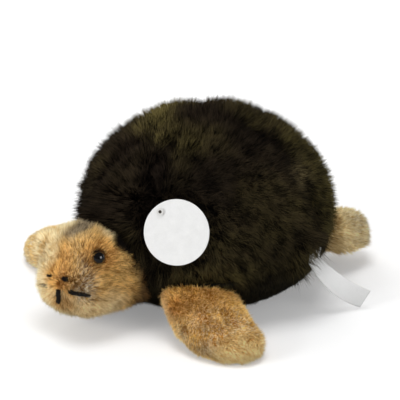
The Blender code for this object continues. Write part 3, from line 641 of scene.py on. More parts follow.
def build_mesh(name: str, patches: list[Patch], smooth: bool = True) -> bpy.types.Object:
    """One object from patches, standing at the origin.

    Args:
        name: the piece's name.
        patches: its parts.
        smooth: whether its faces are shaded smooth.

    Returns:
        The object, linked to the scene, with the attributes pile, marks_a and marks_b and the flat map.
    """
    offsets = np.cumsum([0] + [len(patch.points) for patch in patches])
    faces = [face + offset for patch, offset in zip(patches, offsets) for face in patch.faces if len(face)]
    flats = [flat for patch in patches for flat in patch.flat if len(flat)]
    corners = np.concatenate([face.ravel() for face in faces])
    counts = np.concatenate([np.full(len(face), face.shape[1]) for face in faces])
    flat = np.concatenate([flat.reshape(-1, 2) for flat in flats])
    points = np.concatenate([patch.points for patch in patches])
    used, corners = np.unique(corners, return_inverse=True)
    mesh = bpy.data.meshes.new(name)
    mesh.vertices.add(len(used))
    mesh.vertices.foreach_set("co", points[used].astype(np.float32).ravel())
    mesh.loops.add(len(corners))
    mesh.loops.foreach_set("vertex_index", corners.astype(np.int32).ravel())
    mesh.polygons.add(len(counts))
    mesh.polygons.foreach_set("loop_start", (np.cumsum(counts) - counts).astype(np.int32))
    mesh.update(calc_edges=True)
    mesh.polygons.foreach_set("use_smooth", np.full(len(counts), smooth))
    pile = np.concatenate([patch.pile for patch in patches])[used]
    marks = np.concatenate([patch.marks for patch in patches])[used]
    for label, values in (("pile", pile), ("marks_a", marks[:, :4]), ("marks_b", marks[:, 4:])):
        attribute = mesh.attributes.new(label, "FLOAT_COLOR", "POINT")
        attribute.data.foreach_set("color", values.astype(np.float32).ravel())
    mesh.uv_layers.new(name="OFBake").data.foreach_set("uv", flat.astype(np.float32).ravel())
    mesh.validate()
    obj = bpy.data.objects.new(name, mesh)
    link(obj)
    return obj


# Pile


@dataclass(frozen=True)
class Pile:
    """How one plush's strands stand on their cloth.

    density is in strands per square metre. lay_deg is the angle that a strand stands above the cloth and
    uneven_lay how much it differs from strand to strand, as uneven_lock does from lock to lock. lock_size is
    the size of the locks that strands gather in, gather the share of the way that their tips are drawn
    together, and swirl_deg how far the noise and the locks turn them. bulk is how far the backing is set in,
    which leaves room for the pile.
    """

    density: float
    length: float
    width: float
    lay_deg: float
    lock_size: float
    gather: float
    swirl_deg: float
    swirl_size: float
    bulk: float = 0.0015
    uneven: float = 0.30
    uneven_lay: float = 0.30
    uneven_lock: float = 0.30
    stray_deg: float = 12


@dataclass
class Roots:
    """Where strands start, and how each one differs from its pile."""

    place: Array
    normal: Array
    comb: Array
    length: Array
    lay: Array
    marks: Array


def kept_roots(keep: Array, *values: Array) -> Roots:
    """The roots at the kept places, from values in the order of the fields of Roots."""
    return Roots(*(value[keep] for value in values))


def scatter(skin: Skin, first: tuple[float, float], second: tuple[float, float], density: float,
            rng: np.random.Generator) -> tuple[Array, Array]:
    """Parameters of places spread evenly over a patch of a skin: fine cells are drawn in step with their
    area.

    Args:
        skin: the skin.
        first: the range of its first parameter.
        second: the range of its second parameter.
        density: places for each square metre.
        rng: the source of the random shifts.

    Returns:
        The two parameters of every place.
    """
    cells = 240
    rows = np.linspace(*first, cells + 1)[:, None]
    columns = np.linspace(*second, cells + 1)[None, :]
    corners = skin.points(rows + 0 * columns, columns + 0 * rows)
    across = corners[:-1, 1:] - corners[:-1, :-1]
    along = corners[1:, :-1] - corners[:-1, :-1]
    total = np.cumsum(np.linalg.norm(np.cross(across, along), axis=-1).ravel())
    count = int(total[-1] * density)
    drawn = (np.arange(count) + rng.random(count)) / count * total[-1]
    row, column = np.divmod(np.minimum(np.searchsorted(total, drawn), total.size - 1), cells)
    share_one = (row + rng.random(count)) / cells
    share_other = (column + rng.random(count)) / cells
    return first[0] + (first[1] - first[0]) * share_one, second[0] + (second[1] - second[0]) * share_other


def turn_about(vectors: Array, axes: Array, angles: Array) -> Array:
    """Vectors turned about axes at right angles to them: cosine of the vector plus sine of axis cross
    vector."""
    return vectors * np.cos(angles)[:, None] + np.cross(axes, vectors) * np.sin(angles)[:, None]


def grow(roots: Roots, pile: Pile, rng: np.random.Generator, channel: int) -> Patch:
    """The strands of a pile, each a closed three-sided spine from a ring at its root to its tip.

    A strand's direction is the comb's, turned by smooth noise, by its own lock and by chance, and stood up
    at the pile's lay. Its tip is drawn to the middle of its lock.

    Args:
        roots: where the strands start.
        pile: how they stand.
        rng: the source of what differs from strand to strand.
        channel: which noise and locks are used.

    Returns:
        The patch of all strands. pile holds, at each point, the share along the strand, the strand's own
        shade, the lock's shade and 1.
    """
    count = len(roots.place)
    middle, name = nearest_lock(roots.place, pile.lock_size, channel)
    lock_turn = lattice_random(name, channel + 5) - 0.5
    lock_shade = lattice_random(name, channel + 6)
    swirl = smooth_noise(roots.place, pile.swirl_size, channel + 7)
    stray = rng.normal(0, math.radians(pile.stray_deg), count)
    turn = np.radians(pile.swirl_deg) * (swirl + lock_turn) + stray
    heading = turn_about(roots.comb, roots.normal, turn)
    length = pile.length * roots.length * (1 + pile.uneven * (rng.random(count) * 2 - 1))
    length = length * (0.88 + 0.24 * lattice_random(name, channel + 8))
    lay = np.radians(pile.lay_deg) * roots.lay * (1 + rng.normal(0, pile.uneven_lay, count))
    lay = lay * (1 + pile.uneven_lock * (2 * lattice_random(name, channel + 9) - 1))
    lay = np.clip(lay, 0.06, 1.5)
    inward = middle - roots.place
    inward = inward - (inward * roots.normal).sum(axis=-1, keepdims=True) * roots.normal
    reach = np.minimum(length / pile.length, 1)[:, None]
    start = roots.place - roots.normal * ROOT_DEPTH
    course = np.cos(lay)[:, None] * heading + np.sin(lay)[:, None] * roots.normal
    tip = start + course * length[:, None] + inward * pile.gather * reach
    width = pile.width * (0.75 + 0.5 * rng.random(count))
    axis = unit(tip - start)
    side = unit(np.cross(axis, roots.normal + 0.01 * heading))
    other = np.cross(axis, side)
    turns = np.radians(np.array((90, 210, 330)))
    ring = side[:, None, :] * np.cos(turns)[:, None] + other[:, None, :] * np.sin(turns)[:, None]
    ring = start[:, None, :] + ring * (width / 2)[:, None, None]
    points = np.concatenate([ring, tip[:, None, :]], axis=1)
    points[..., 2] = np.maximum(points[..., 2], TIP_CLEARANCE)
    faces = np.array(((0, 2, 1), (0, 1, 3), (1, 2, 3), (2, 0, 3)))
    faces = (faces[None] + 4 * np.arange(count)[:, None, None]).reshape(-1, 3)
    pile_values = np.ones((count, 4, 4))
    pile_values[..., 0] = np.array((0, 0, 0, 1))
    pile_values[..., 1] = rng.random(count)[:, None]
    pile_values[..., 2] = lock_shade[:, None]
    across = math.ceil(math.sqrt(count * 2.4))
    row, column = np.divmod(np.arange(count), across)
    local = np.array(((0.2, 0.1), (0.5, 0.1), (0.8, 0.1), (0.5, 0.9)))
    step = np.array((0.74 / across, 1 / (row[-1] + 1)))
    flat = (np.stack([column, row], axis=-1)[:, None, :] + local) * step + np.array((0.255, 0))
    marks = np.repeat(roots.marks[:, None, :], 4, axis=1)
    return Patch(points.reshape(-1, 3), pile_values.reshape(-1, 4), marks.reshape(-1, 8), [faces],
                 [flat.reshape(-1, 2)[faces]])


# Finishes


class Board:
    """One material's nodes, with short calls that add and join them."""

    def __init__(self, name: str) -> None:
        """Makes the material, whose shader is a Principled BSDF."""
        self.material = bpy.data.materials.new(name)
        self.material.use_nodes = True
        self.tree = self.material.node_tree
        self.shader = self.tree.nodes["Principled BSDF"]

    def set(self, **values: float | tuple) -> None:
        """Sets the shader's own sockets, named in lower case with underscores."""
        names = {key.lower().replace(" ", "_"): key for key in self.shader.inputs.keys()}
        for key, value in values.items():
            self.shader.inputs[names[key]].default_value = value

    def feed(self, socket: str, source: Socket) -> None:
        """Joins a source to one of the shader's sockets."""
        self.tree.links.new(source, self.shader.inputs[socket])

    def channels(self, label: str) -> list[Socket]:
        """The four channels of one of the mesh's attributes."""
        node = self.tree.nodes.new("ShaderNodeAttribute")
        node.attribute_name = label
        split = self.tree.nodes.new("ShaderNodeSeparateColor")
        self.tree.links.new(node.outputs["Color"], split.inputs[0])
        return [*split.outputs[:3], node.outputs["Alpha"]]

    def bump(self, height: Socket, strength: float, distance: float) -> None:
        """Raises the surface by a height."""
        node = self.tree.nodes.new("ShaderNodeBump")
        node.inputs["Strength"].default_value = strength
        node.inputs["Distance"].default_value = distance
        self.tree.links.new(height, node.inputs["Height"])
        self.feed("Normal", node.outputs["Normal"])


def attach(tree: Tree, socket: Socket, value: object) -> None:
    """Joins a socket to a source, or sets it to a number or colour."""
    if isinstance(value, Socket):
        tree.links.new(value, socket)
    else:
        socket.default_value = value


def mixed(tree: Tree, share: object, one: object, other: object,
          way: str = "MIX") -> Socket:
    """One colour mixed with another by a share; each may be a source or a plain value."""
    node = tree.nodes.new("ShaderNodeMix")
    node.data_type = "RGBA"
    node.blend_type = way
    for index, value in ((0, share), (6, one), (7, other)):
        attach(tree, node.inputs[index], value)
    return node.outputs[2]


def maths(tree: Tree, operation: str, one: object, other: object = 0.0) -> Socket:
    """The result of one sum on two values."""
    node = tree.nodes.new("ShaderNodeMath")
    node.operation = operation
    attach(tree, node.inputs[0], one)
    attach(tree, node.inputs[1], other)
    return node.outputs[0]


def ranged(tree: Tree, value: object, source: tuple, target: tuple) -> Socket:
    """A value eased from one range into another."""
    node = tree.nodes.new("ShaderNodeMapRange")
    node.interpolation_type = "SMOOTHSTEP"
    for index, number in enumerate((*source, *target), start=1):
        node.inputs[index].default_value = number
    attach(tree, node.inputs[0], value)
    return node.outputs[0]


def noise(tree: Tree, size: float, detail: float = 3.0, name: str = "Fac") -> Socket:
    """Noise in the object's own coordinates, whose features measure about one size."""
    place = tree.nodes.new("ShaderNodeTexCoord")
    node = tree.nodes.new("ShaderNodeTexNoise")
    node.inputs["Scale"].default_value = 1 / size
    node.inputs["Detail"].default_value = detail
    tree.links.new(place.outputs["Object"], node.inputs["Vector"])
    return node.outputs[name]


def placed_group(tree: Tree, group: Tree, **values: object) -> bpy.types.Node:
    """A group in a tree, with its inputs, named in lower case with underscores, set or joined."""
    node = tree.nodes.new("ShaderNodeGroup")
    node.node_tree = group
    names = {key.lower().replace(" ", "_"): key for key in node.inputs.keys()}
    for key, value in values.items():
        attach(tree, node.inputs[names[key]], value)
    return node


class Effects:
    """The node groups that several finishes share, each built once."""

    def __init__(self) -> None:
        """Builds every group."""
        self.pile_colour = self.build_pile_colour()
        self.fine_grain = self.build_fine_grain()

    @staticmethod
    def new_group(name: str, inputs: dict[str, str], outputs: dict[str, str]) -> Tree:
        """An empty group with named sockets; each name is given with its socket type."""
        group = bpy.data.node_groups.new(name, "ShaderNodeTree")
        for way, sockets in (("INPUT", inputs), ("OUTPUT", outputs)):
            for label, kind in sockets.items():
                group.interface.new_socket(name=label, in_out=way, socket_type=kind)
        return group

    def build_pile_colour(self) -> Tree:
        """A strand's colour: from its root's to its tip's, lighter or darker by strand, by lock and by
        patches."""
        group = self.new_group(
            "pile_colour",
            {"Along": "NodeSocketFloat", "Shade": "NodeSocketFloat", "Lock": "NodeSocketFloat",
             "Root": "NodeSocketColor", "Tip": "NodeSocketColor", "Contrast": "NodeSocketFloat"},
            {"Colour": "NodeSocketColor"})
        source = group.nodes.new("NodeGroupInput").outputs
        strand = maths(group, "SUBTRACT", source["Shade"], 0.5)
        lock = maths(group, "SUBTRACT", source["Lock"], 0.5)
        patch = maths(group, "SUBTRACT", noise(group, 0.009), 0.5)
        total = maths(group, "ADD", strand, maths(group, "ADD", lock, maths(group, "MULTIPLY", patch, 1.4)))
        total = maths(group, "MULTIPLY", total, source["Contrast"])
        along = maths(group, "ADD", ranged(group, source["Along"], (0.05, 0.9), (0, 0.85)),
                      maths(group, "MULTIPLY", total, 0.7))
        colour = mixed(group, ranged(group, along, (0, 1), (0, 1)), source["Root"], source["Tip"])
        light = maths(group, "ADD", maths(group, "MULTIPLY", total, 0.4), 1.0)
        light = maths(group, "MAXIMUM", light, 0.15)
        grey = group.nodes.new("ShaderNodeCombineColor")
        for channel in range(3):
            group.links.new(light, grey.inputs[channel])
        colour = mixed(group, 1.0, colour, grey.outputs[0], "MULTIPLY")
        sink = group.nodes.new("NodeGroupOutput")
        group.links.new(colour, sink.inputs["Colour"])
        return group

    def build_fine_grain(self) -> Tree:
        """Fine grain: a broad and a fine noise, as a share for colour and a height for the surface."""
        group = self.new_group("fine_grain", {"Fine Share": "NodeSocketFloat"},
                               {"Shade": "NodeSocketFloat", "Height": "NodeSocketFloat"})
        source = group.nodes.new("NodeGroupInput").outputs
        broad, fine = noise(group, 0.004), noise(group, 0.0004, 5.0)
        sink = group.nodes.new("NodeGroupOutput")
        part = maths(group, "MULTIPLY", maths(group, "SUBTRACT", fine, broad), source["Fine Share"])
        group.links.new(maths(group, "ADD", broad, part), sink.inputs["Shade"])
        group.links.new(fine, sink.inputs["Height"])
        return group


@dataclass(frozen=True)
class Mark:
    """A dyed zone of a plush: which of the piece's eight marks it reads, and its root and tip colours."""

    channel: int
    root: Colour
    tip: Colour


@dataclass(frozen=True)
class PlushFinish:
    """A pile's dye from root to tip, its marked zones and how it shines."""

    name: str
    root: Colour
    tip: Colour
    marks: tuple[Mark, ...] = ()
    contrast: float = 0.5
    roughness: float = 0.8
    sheen: float = 0.0
    specular: float = 0.2

    def make(self, effects: Effects) -> Material:
        """The material."""
        board = Board(self.name)
        tree = board.tree
        along, shade, lock, _ = board.channels("pile")
        masks = board.channels("marks_a") + board.channels("marks_b")
        root, tip = self.root, self.tip
        for mark in self.marks:
            root = mixed(tree, masks[mark.channel], root, mark.root)
            tip = mixed(tree, masks[mark.channel], tip, mark.tip)
        group = placed_group(tree, effects.pile_colour, along=along, shade=shade, lock=lock, root=root,
                             tip=tip, contrast=self.contrast)
        board.feed("Base Color", group.outputs["Colour"])
        board.set(roughness=self.roughness, sheen_weight=self.sheen, specular_ior_level=self.specular)
        return board.material


@dataclass(frozen=True)
class GrainFinish:
    """A plain material with fine grain: card, moulded plastic, metal, thread or loose fibre."""

    name: str
    dark: Colour
    light: Colour
    roughness: tuple[float, float]
    bump: float
    metallic: float = 0.0
    specular: float = 0.5
    fine_share: float = 0.5
    bump_distance: float = 0.00008

    def make(self, effects: Effects) -> Material:
        """The material."""
        board = Board(self.name)
        tree = board.tree
        group = placed_group(tree, effects.fine_grain, fine_share=self.fine_share)
        shade = ranged(tree, group.outputs["Shade"], (0.25, 0.75), (0, 1))
        board.feed("Base Color", mixed(tree, shade, self.dark, self.light))
        board.feed("Roughness", ranged(tree, group.outputs["Shade"], (0.25, 0.75), self.roughness))
        board.bump(group.outputs["Height"], self.bump, self.bump_distance)
        board.set(metallic=self.metallic, specular_ior_level=self.specular)
        return board.material


@dataclass(frozen=True)
class PinHoleShadeFinish:
    """Clear plastic with a dark disc painted in its middle, within a radius of one place: painted shade
    for the pin's hole.
    """

    name: str
    clear: Colour
    core: Colour
    hole_shade_radius: float

    def make(self, effects: Effects, place: Array, axis: Array) -> Material:
        """The material. Its core is what lies near the axis through a place: the distance from it is the
        length of the cross product of the way from the place and the axis."""
        board = Board(self.name)
        tree = board.tree
        away = tree.nodes.new("ShaderNodeTexCoord").outputs["Object"]
        for operation, value in (("SUBTRACT", place), ("CROSS_PRODUCT", axis), ("LENGTH", axis)):
            node = tree.nodes.new("ShaderNodeVectorMath")
            node.operation = operation
            node.inputs[1].default_value = tuple(value)
            tree.links.new(away, node.inputs[0])
            away = node.outputs["Value" if operation == "LENGTH" else "Vector"]
        edge = ranged(tree, away, (self.hole_shade_radius, self.hole_shade_radius * 1.5), (0, 1))
        board.feed("Base Color", mixed(tree, edge, self.core, self.clear))
        board.bump(placed_group(tree, effects.fine_grain, fine_share=0.5).outputs["Height"], 0.1, 0.00005)
        board.set(roughness=0.3)
        return board.material


@dataclass(frozen=True)
class WeaveFinish:
    """A woven ribbon: warp and weft waves across its own flat map, with a denser edge."""

    name: str
    dark: Colour
    light: Colour
    warps: float
    wefts: float

    def make(self, effects: Effects) -> Material:
        """The material. The height is the product of two sines, one along and one across the ribbon."""
        board = Board(self.name)
        tree = board.tree
        across, along, _, _ = board.channels("marks_a")
        across = maths(tree, "SINE", maths(tree, "MULTIPLY", across, self.warps * 2 * math.pi))
        along = maths(tree, "SINE", maths(tree, "MULTIPLY", along, self.wefts * 2 * math.pi))
        woven = ranged(tree, maths(tree, "MULTIPLY", across, along), (-1, 1), (0, 1))
        grain = placed_group(tree, effects.fine_grain, fine_share=0.6).outputs["Shade"]
        shade = maths(tree, "ADD", maths(tree, "MULTIPLY", woven, 0.55), maths(tree, "MULTIPLY", grain, 0.45))
        board.feed("Base Color", mixed(tree, shade, self.dark, self.light))
        board.feed("Roughness", ranged(tree, shade, (0, 1), (0.75, 0.5)))
        board.bump(woven, 0.5, 0.00010)
        board.set(sheen_weight=0.15)
        return board.material


# Shell mark 0 is olive dye with a painted highlight over the crown and the upper front; mark 1 is dark dye
# with painted shade in the seams and grooves.
SHELL_FINISH = PlushFinish(
    "shell_pile", tone(12, 9, 6), tone(56, 47, 34),
    (Mark(0, tone(27, 24, 11), tone(108, 98, 55)),
     Mark(1, tone(6, 4, 3), tone(28, 22, 17)),
     Mark(2, tone(54, 47, 30), tone(132, 118, 82))),
    contrast=1.7, specular=0.10)
BELLY_FINISH = PlushFinish("belly_pile", tone(22, 20, 12), tone(52, 46, 28), contrast=0.6, specular=0.12)
HEAD_FINISH = PlushFinish(
    "head_pile", tone(160, 99, 32), tone(247, 202, 116),
    # mark 0: pale cream, with painted light on the chin and the far half
    (Mark(0, tone(254, 208, 128), tone(255, 242, 198)),
     Mark(1, tone(74, 60, 44), tone(160, 142, 112)),
     Mark(2, tone(176, 108, 36), tone(240, 192, 112)),
     Mark(3, tone(60, 36, 14), tone(136, 88, 38)),
     Mark(4, tone(116, 78, 34), tone(254, 244, 216)),
     # mark 5: painted shade at the neck
     Mark(5, tone(62, 45, 26), tone(128, 100, 64)),
     # mark 6: black dye at the eyelid, and painted shadow under the shell's edge
     Mark(6, tone(10, 7, 5), tone(20, 14, 10))),
    contrast=0.9)
# Limb mark 2 is partly painted shade at the root, mark 3 partly a painted highlight at the near toe.
FLIPPER_FINISH = PlushFinish(
    "flipper_pile", tone(198, 130, 42), tone(255, 214, 120),
    (Mark(0, tone(196, 150, 82), tone(255, 245, 214)),
     Mark(1, tone(150, 130, 98), tone(240, 226, 196)),
     Mark(2, tone(146, 92, 28), tone(220, 154, 66)),
     Mark(3, tone(255, 206, 116), tone(255, 240, 186))),
    contrast=0.8)
LEG_FINISH = PlushFinish(
    "leg_pile", tone(226, 176, 94), tone(255, 238, 178),
    (Mark(0, tone(220, 186, 124), tone(255, 248, 220)),
     Mark(1, tone(206, 172, 116), tone(252, 228, 178)),
     Mark(2, tone(112, 82, 36), tone(168, 130, 68))),
    contrast=0.8)
FIBRE_FINISH = GrainFinish("loose_fibre", tone(205, 202, 194), tone(238, 236, 230), (0.85, 1.0), 0.6)
EYE_FINISH = GrainFinish("eye_gloss", tone(4, 3, 3), tone(9, 7, 6), (0.02, 0.05), 0.0, specular=1.0)
THREAD_FINISH = GrainFinish("black_thread", tone(8, 6, 5), tone(26, 21, 18), (0.6, 0.85), 0.5)
PLASTIC_FINISH = GrainFinish("moulded_plastic", tone(92, 86, 78), tone(116, 110, 102), (0.35, 0.5), 0.15)
# clear plastic with a painted dark centre: painted shade of the pin's hole
PIN_FINISH = PinHoleShadeFinish("clear_pin", tone(206, 205, 202), tone(50, 44, 38), 0.0007)
CARD_FINISH = GrainFinish("white_card", tone(214, 214, 213), tone(226, 226, 225), (0.45, 0.55), 0.08)
METAL_FINISH = GrainFinish("rivet_metal", tone(176, 168, 150), tone(222, 216, 202), (0.18, 0.34), 0.1, 1.0)
RIBBON_FINISH = WeaveFinish("woven_ribbon", tone(216, 216, 215), tone(250, 250, 249), 34, 120)


# Sub-assemblies


def dress(obj: bpy.types.Object, material: Material, slot: str, body: str | None) -> None:
    """Gives a piece its material, and has it ride on a body where one is named."""
    obj.data.materials.append(material)
    if body:
        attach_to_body(obj, body)
    triangles = len(obj.data.loops) - 2 * len(obj.data.polygons)
    LOG.info("%s: %d triangles", obj.name, triangles)


@dataclass
class Shell:
    """The body: five shell panels, the belly under them and the stuffing inside."""

    body: BodySkin
    label_rise_deg: float = -7.5
    fringe_way: tuple = (0.14, -0.36, 0.92)
    flipper_turn_deg: float = 51.0
    flipper_height: float = 0.0300
    rim_rise_deg: float = -12
    neck_middle: float = 0.0320
    neck_half_height: float = 0.0217
    neck_half_width: float = 0.0263
    panel_rows: int = 26
    panel_columns_each_deg: float = 4.0
    pile: Pile = Pile(density=6.0e6, length=0.0088, width=0.00058, lay_deg=50, lock_size=0.0024, gather=0.45,
                      swirl_deg=75, swirl_size=0.020, bulk=0.0058, uneven_lay=0.35, stray_deg=16)
    belly_pile: Pile = Pile(density=2.4e6, length=0.0046, width=0.00050, lay_deg=18, lock_size=0.0036,
                            gather=0.3, swirl_deg=30, swirl_size=0.020, bulk=0.0018)
    seams: tuple = (("shell_front_panel", -26, 18, 26, -18), ("shell_left_panel", 26, -18, 118, 0),
                    ("shell_rear_left_panel", 118, 0, 180, 0), ("shell_rear_right_panel", 180, 0, 242, 0),
                    ("shell_right_panel", 242, 0, 334, 18))

    def collar(self, place: Array) -> Array:
        """How far each place counts as the collar, the shell's edge that hangs over the top of the neck."""
        up = (place[:, 2] - self.neck_middle) / self.neck_half_height
        ring = np.hypot(place[:, 0] / self.neck_half_width, up)
        near_side = ramp(place[:, 0], -self.neck_half_width / 2, 0.0)
        return hill(ring, 1.15, 0.3) * ramp(up, 0.0, 0.5) * near_side * (place[:, 1] < self.body.core[1])

    def comb(self, place: Array, normal: Array) -> Array:
        """The way that the pile lies: from the front over the crown to the rear, down the sides and over the
        neck."""
        away = place - self.body.core
        side_share = np.abs(away[:, :1]) / self.body.half_width
        wanted = np.array((0, 0.9, -0.25)) + np.array((0, -0.3, -1.5)) * side_share
        wanted = wanted + np.array((0, -2.0, -2.4)) * self.collar(place)[:, None]
        return along_surface(wanted, normal)

    def marks(self, place: Array, rng: np.random.Generator) -> Array:
        """Shell marks: 0 olive, dyed in patches, at the rear and low down, and a painted highlight over the
        crown and the upper front, 1 dark and 2 the pale olive spots."""
        turn, rise = self.body.turn_and_rise(place)
        turn_deg, rise_deg = np.degrees(turn), np.degrees(rise)
        cloud = smooth_noise(place, 0.026, 41)
        fine = smooth_noise(place, 0.009, 42)
        # crown and front: a painted highlight, olive where light falls on the top and the upper front
        crown = 0.62 * ramp(rise_deg, 48, 62) * ramp(rise_deg, 82, 70) * ramp(turn_deg, 100, 60)
        rear = ramp(turn_deg, 108, 124) * ramp(rise_deg, -12, 6) * (0.45 + 0.55 * ramp(rise_deg, 62, 46))
        front = hill(turn_deg, 30, 12) * hill(rise_deg, 50, 12)
        low = ramp(rise_deg, 8, -10) * 0.45
        olive = np.clip(0.10 + crown + rear + 0.7 * front + low + 0.45 * cloud, 0, 1)
        olive = np.clip(olive + 0.2 * fine, 0, 1)
        top = ramp(rise_deg, 50, 62) * ramp(turn_deg, 70, 110)
        dark = np.clip(0.35 + 0.35 * top - 0.8 * cloud - 0.5 * crown, 0, 1) * 0.8
        spot = hill(turn_deg, 119, 7) * hill(rise_deg, 34, 6) * 0.9
        marks = np.zeros((len(place), 8))
        marks[:, 0] = olive * (0.6 + 0.4 * rng.random(len(place)))
        marks[:, 1] = dark
        marks[:, 2] = spot
        return marks

    def shortened(self, place: Array) -> tuple[Array, Array]:
        """Shares of the length and lay of strands. They are short and flat under the tag and at the label's
        tab, a little shorter at the rear and at the flippers' roots, and longer on the crown, in the fringe
        that hangs over the tab and in the collar over the neck."""
        centre, normal = self.body.spot(TAG_TURN_DEG, TAG_RISE_DEG)
        away = place - centre
        flat = np.linalg.norm(away - (away @ normal)[:, None] * normal, axis=-1)
        same_side = (away @ normal) > -0.03
        under = ramp(flat, TAG_RADIUS + 0.004, TAG_RADIUS - 0.003) * same_side
        tab, _ = self.body.spot(LABEL_TURN_DEG, self.label_rise_deg)
        beside = distances(place, tab)
        near_tab = ramp(beside, 0.0108, 0.0070)
        fringe = ramp(beside, 0.0100, 0.0116) * ramp(beside, 0.0180, 0.0150)
        fringe = fringe * ramp((place - tab) @ np.array(self.fringe_way), 0.001, 0.005)
        turn, rise = self.body.turn_and_rise(place)
        turn_deg, rise_deg = np.degrees(turn), np.degrees(rise)
        rear = hill(turn_deg, 128, 26) * ramp(rise_deg, 55, 35)
        crown = ramp(rise_deg, 62, 75) * hill(turn_deg, 165, 60)
        collar = self.collar(place)
        length = 1 - 0.50 * under - 0.6 * near_tab - 0.20 * rear
        length = length + 0.15 * crown + 1.1 * collar + 1.0 * fringe
        lay = 1 - 0.55 * under - 0.6 * near_tab - 0.15 * rear + 0.10 * crown + 0.12 * fringe
        for side in (-1, 1):
            root = self.body.points(np.array(math.radians(self.flipper_turn_deg * side)),
                                    np.array(self.body.rise_at(self.flipper_height)))
            near = ramp(distances(place, root), 0.024, 0.014)
            length, lay = length * (1 - 0.18 * near), lay * (1 - 0.30 * near)
        return length, lay

    def roots(self, skin: Skin, first: tuple, second: tuple, pile: Pile, rng: np.random.Generator) -> Roots:
        """Roots over one patch of the body."""
        one, other = scatter(skin, first, second, pile.density, rng)
        place, normal = skin.points(one, other), skin.normals(one, other)
        length, lay = self.shortened(place)
        length = length * (1 + 0.16 * smooth_noise(place, 0.018, 51))
        lay = lay * (1 + 0.40 * smooth_noise(place, 0.015, 52) + 0.2 * smooth_noise(place, 0.006, 53))
        if isinstance(skin, PanelSkin):
            _, distance = skin.turns(one, other)
            _, rise = self.body.turn_and_rise(place)
            apart = ramp(np.degrees(rise), 78, 55)
            seam, groove = hill(distance, 0, 0.0022) * (0.3 + 0.7 * apart), hill(distance, 0, 0.0060) * apart
            length, lay = length * (1 - 0.35 * seam - 0.2 * groove), lay * (1 - 0.3 * seam - 0.3 * groove)
        above = ramp(place[:, 2], 0.0006, 0.0060)
        length, lay = length * (0.35 + 0.65 * above), lay * (0.15 + 0.85 * above)
        marks = self.marks(place, rng)
        if isinstance(skin, PanelSkin):
            # painted shade: darker at the seams and grooves, and less olive in the grooves
            marks[:, 1] = np.clip(marks[:, 1] + 0.5 * seam + 0.7 * groove, 0, 1)
            marks[:, 0] *= 1 - 0.6 * groove
        comb = self.comb(place, normal)
        return kept_roots(place[:, 2] > BARE_BELOW, place, normal, comb, length, lay, marks)

    def build_panels(self, material: Material) -> None:
        """The five panels of the shell."""
        low, high = math.radians(self.rim_rise_deg), QUARTER - 0.03
        for index, (name, start, start_lean, end, end_lean) in enumerate(self.seams):
            rng = np.random.default_rng(100 + index)
            skin = PanelSkin(self.body, (start, start_lean), (end, end_lean), self.pile.bulk)
            columns = int((end - start) / self.panel_columns_each_deg)
            rise, share = grid(np.linspace(low, high, self.panel_rows), np.linspace(0, 1, columns))
            patch = cloth(skin.points(rise, share), skin.points(rise, share, BACKING))
            patch.marks[:, 1] = 0.6
            strands = grow(self.roots(skin, (low, high), (0, 1), self.pile, rng), self.pile, rng, 200)
            obj = build_mesh(f"{name}_pile", [patch, strands])
            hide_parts(name)
            dress(obj, material, "shell_plush", "body")

    def build_belly(self, material: Material) -> None:
        """The belly, a dish from the shell's rim to the flat that the toy rests on."""
        rng = np.random.default_rng(110)
        start = math.radians(self.rim_rise_deg) - SEAM_GAP / self.body.belly_drop
        flat = self.body.rise_at(0.0)
        rise, turn = grid(np.append(np.linspace(start, flat, 12), -QUARTER), full_turn(96))
        skin = self.body.sunk(self.belly_pile.bulk)
        patch = cloth(skin.points(turn, rise), skin.points(turn, rise, BACKING), wraps=True)
        roots = self.roots(skin, (0, 2 * math.pi), (flat, start), self.belly_pile, rng)
        obj = build_mesh("belly_panel_pile", [patch, grow(roots, self.belly_pile, rng, 220)])
        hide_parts("belly_panel")
        dress(obj, material, "belly_plush", "body")

    def build_stuffing(self, material: Material) -> None:
        """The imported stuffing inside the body."""
        rise, turn = grid(np.linspace(-QUARTER, QUARTER, 42)[1:-1], full_turn(96))
        inset = self.pile.bulk + BACKING + STUFFING_GAP + PanelSkin.groove + PanelSkin.lump
        points = self.body.points(turn, rise, inset)
        lumps = 0.0005 * smooth_noise(points, 0.008, 61)[..., None]
        points = points - unit(points - self.body.core) * (lumps + 0.0005)
        points[..., 2] = np.maximum(points[..., 2], CLOTH + STUFFING_GAP)
        obj = build_mesh("body_stuffing_fibre", [closed_form(points)])
        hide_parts("body_stuffing")
        dress(obj, material, "stuffing", "body")


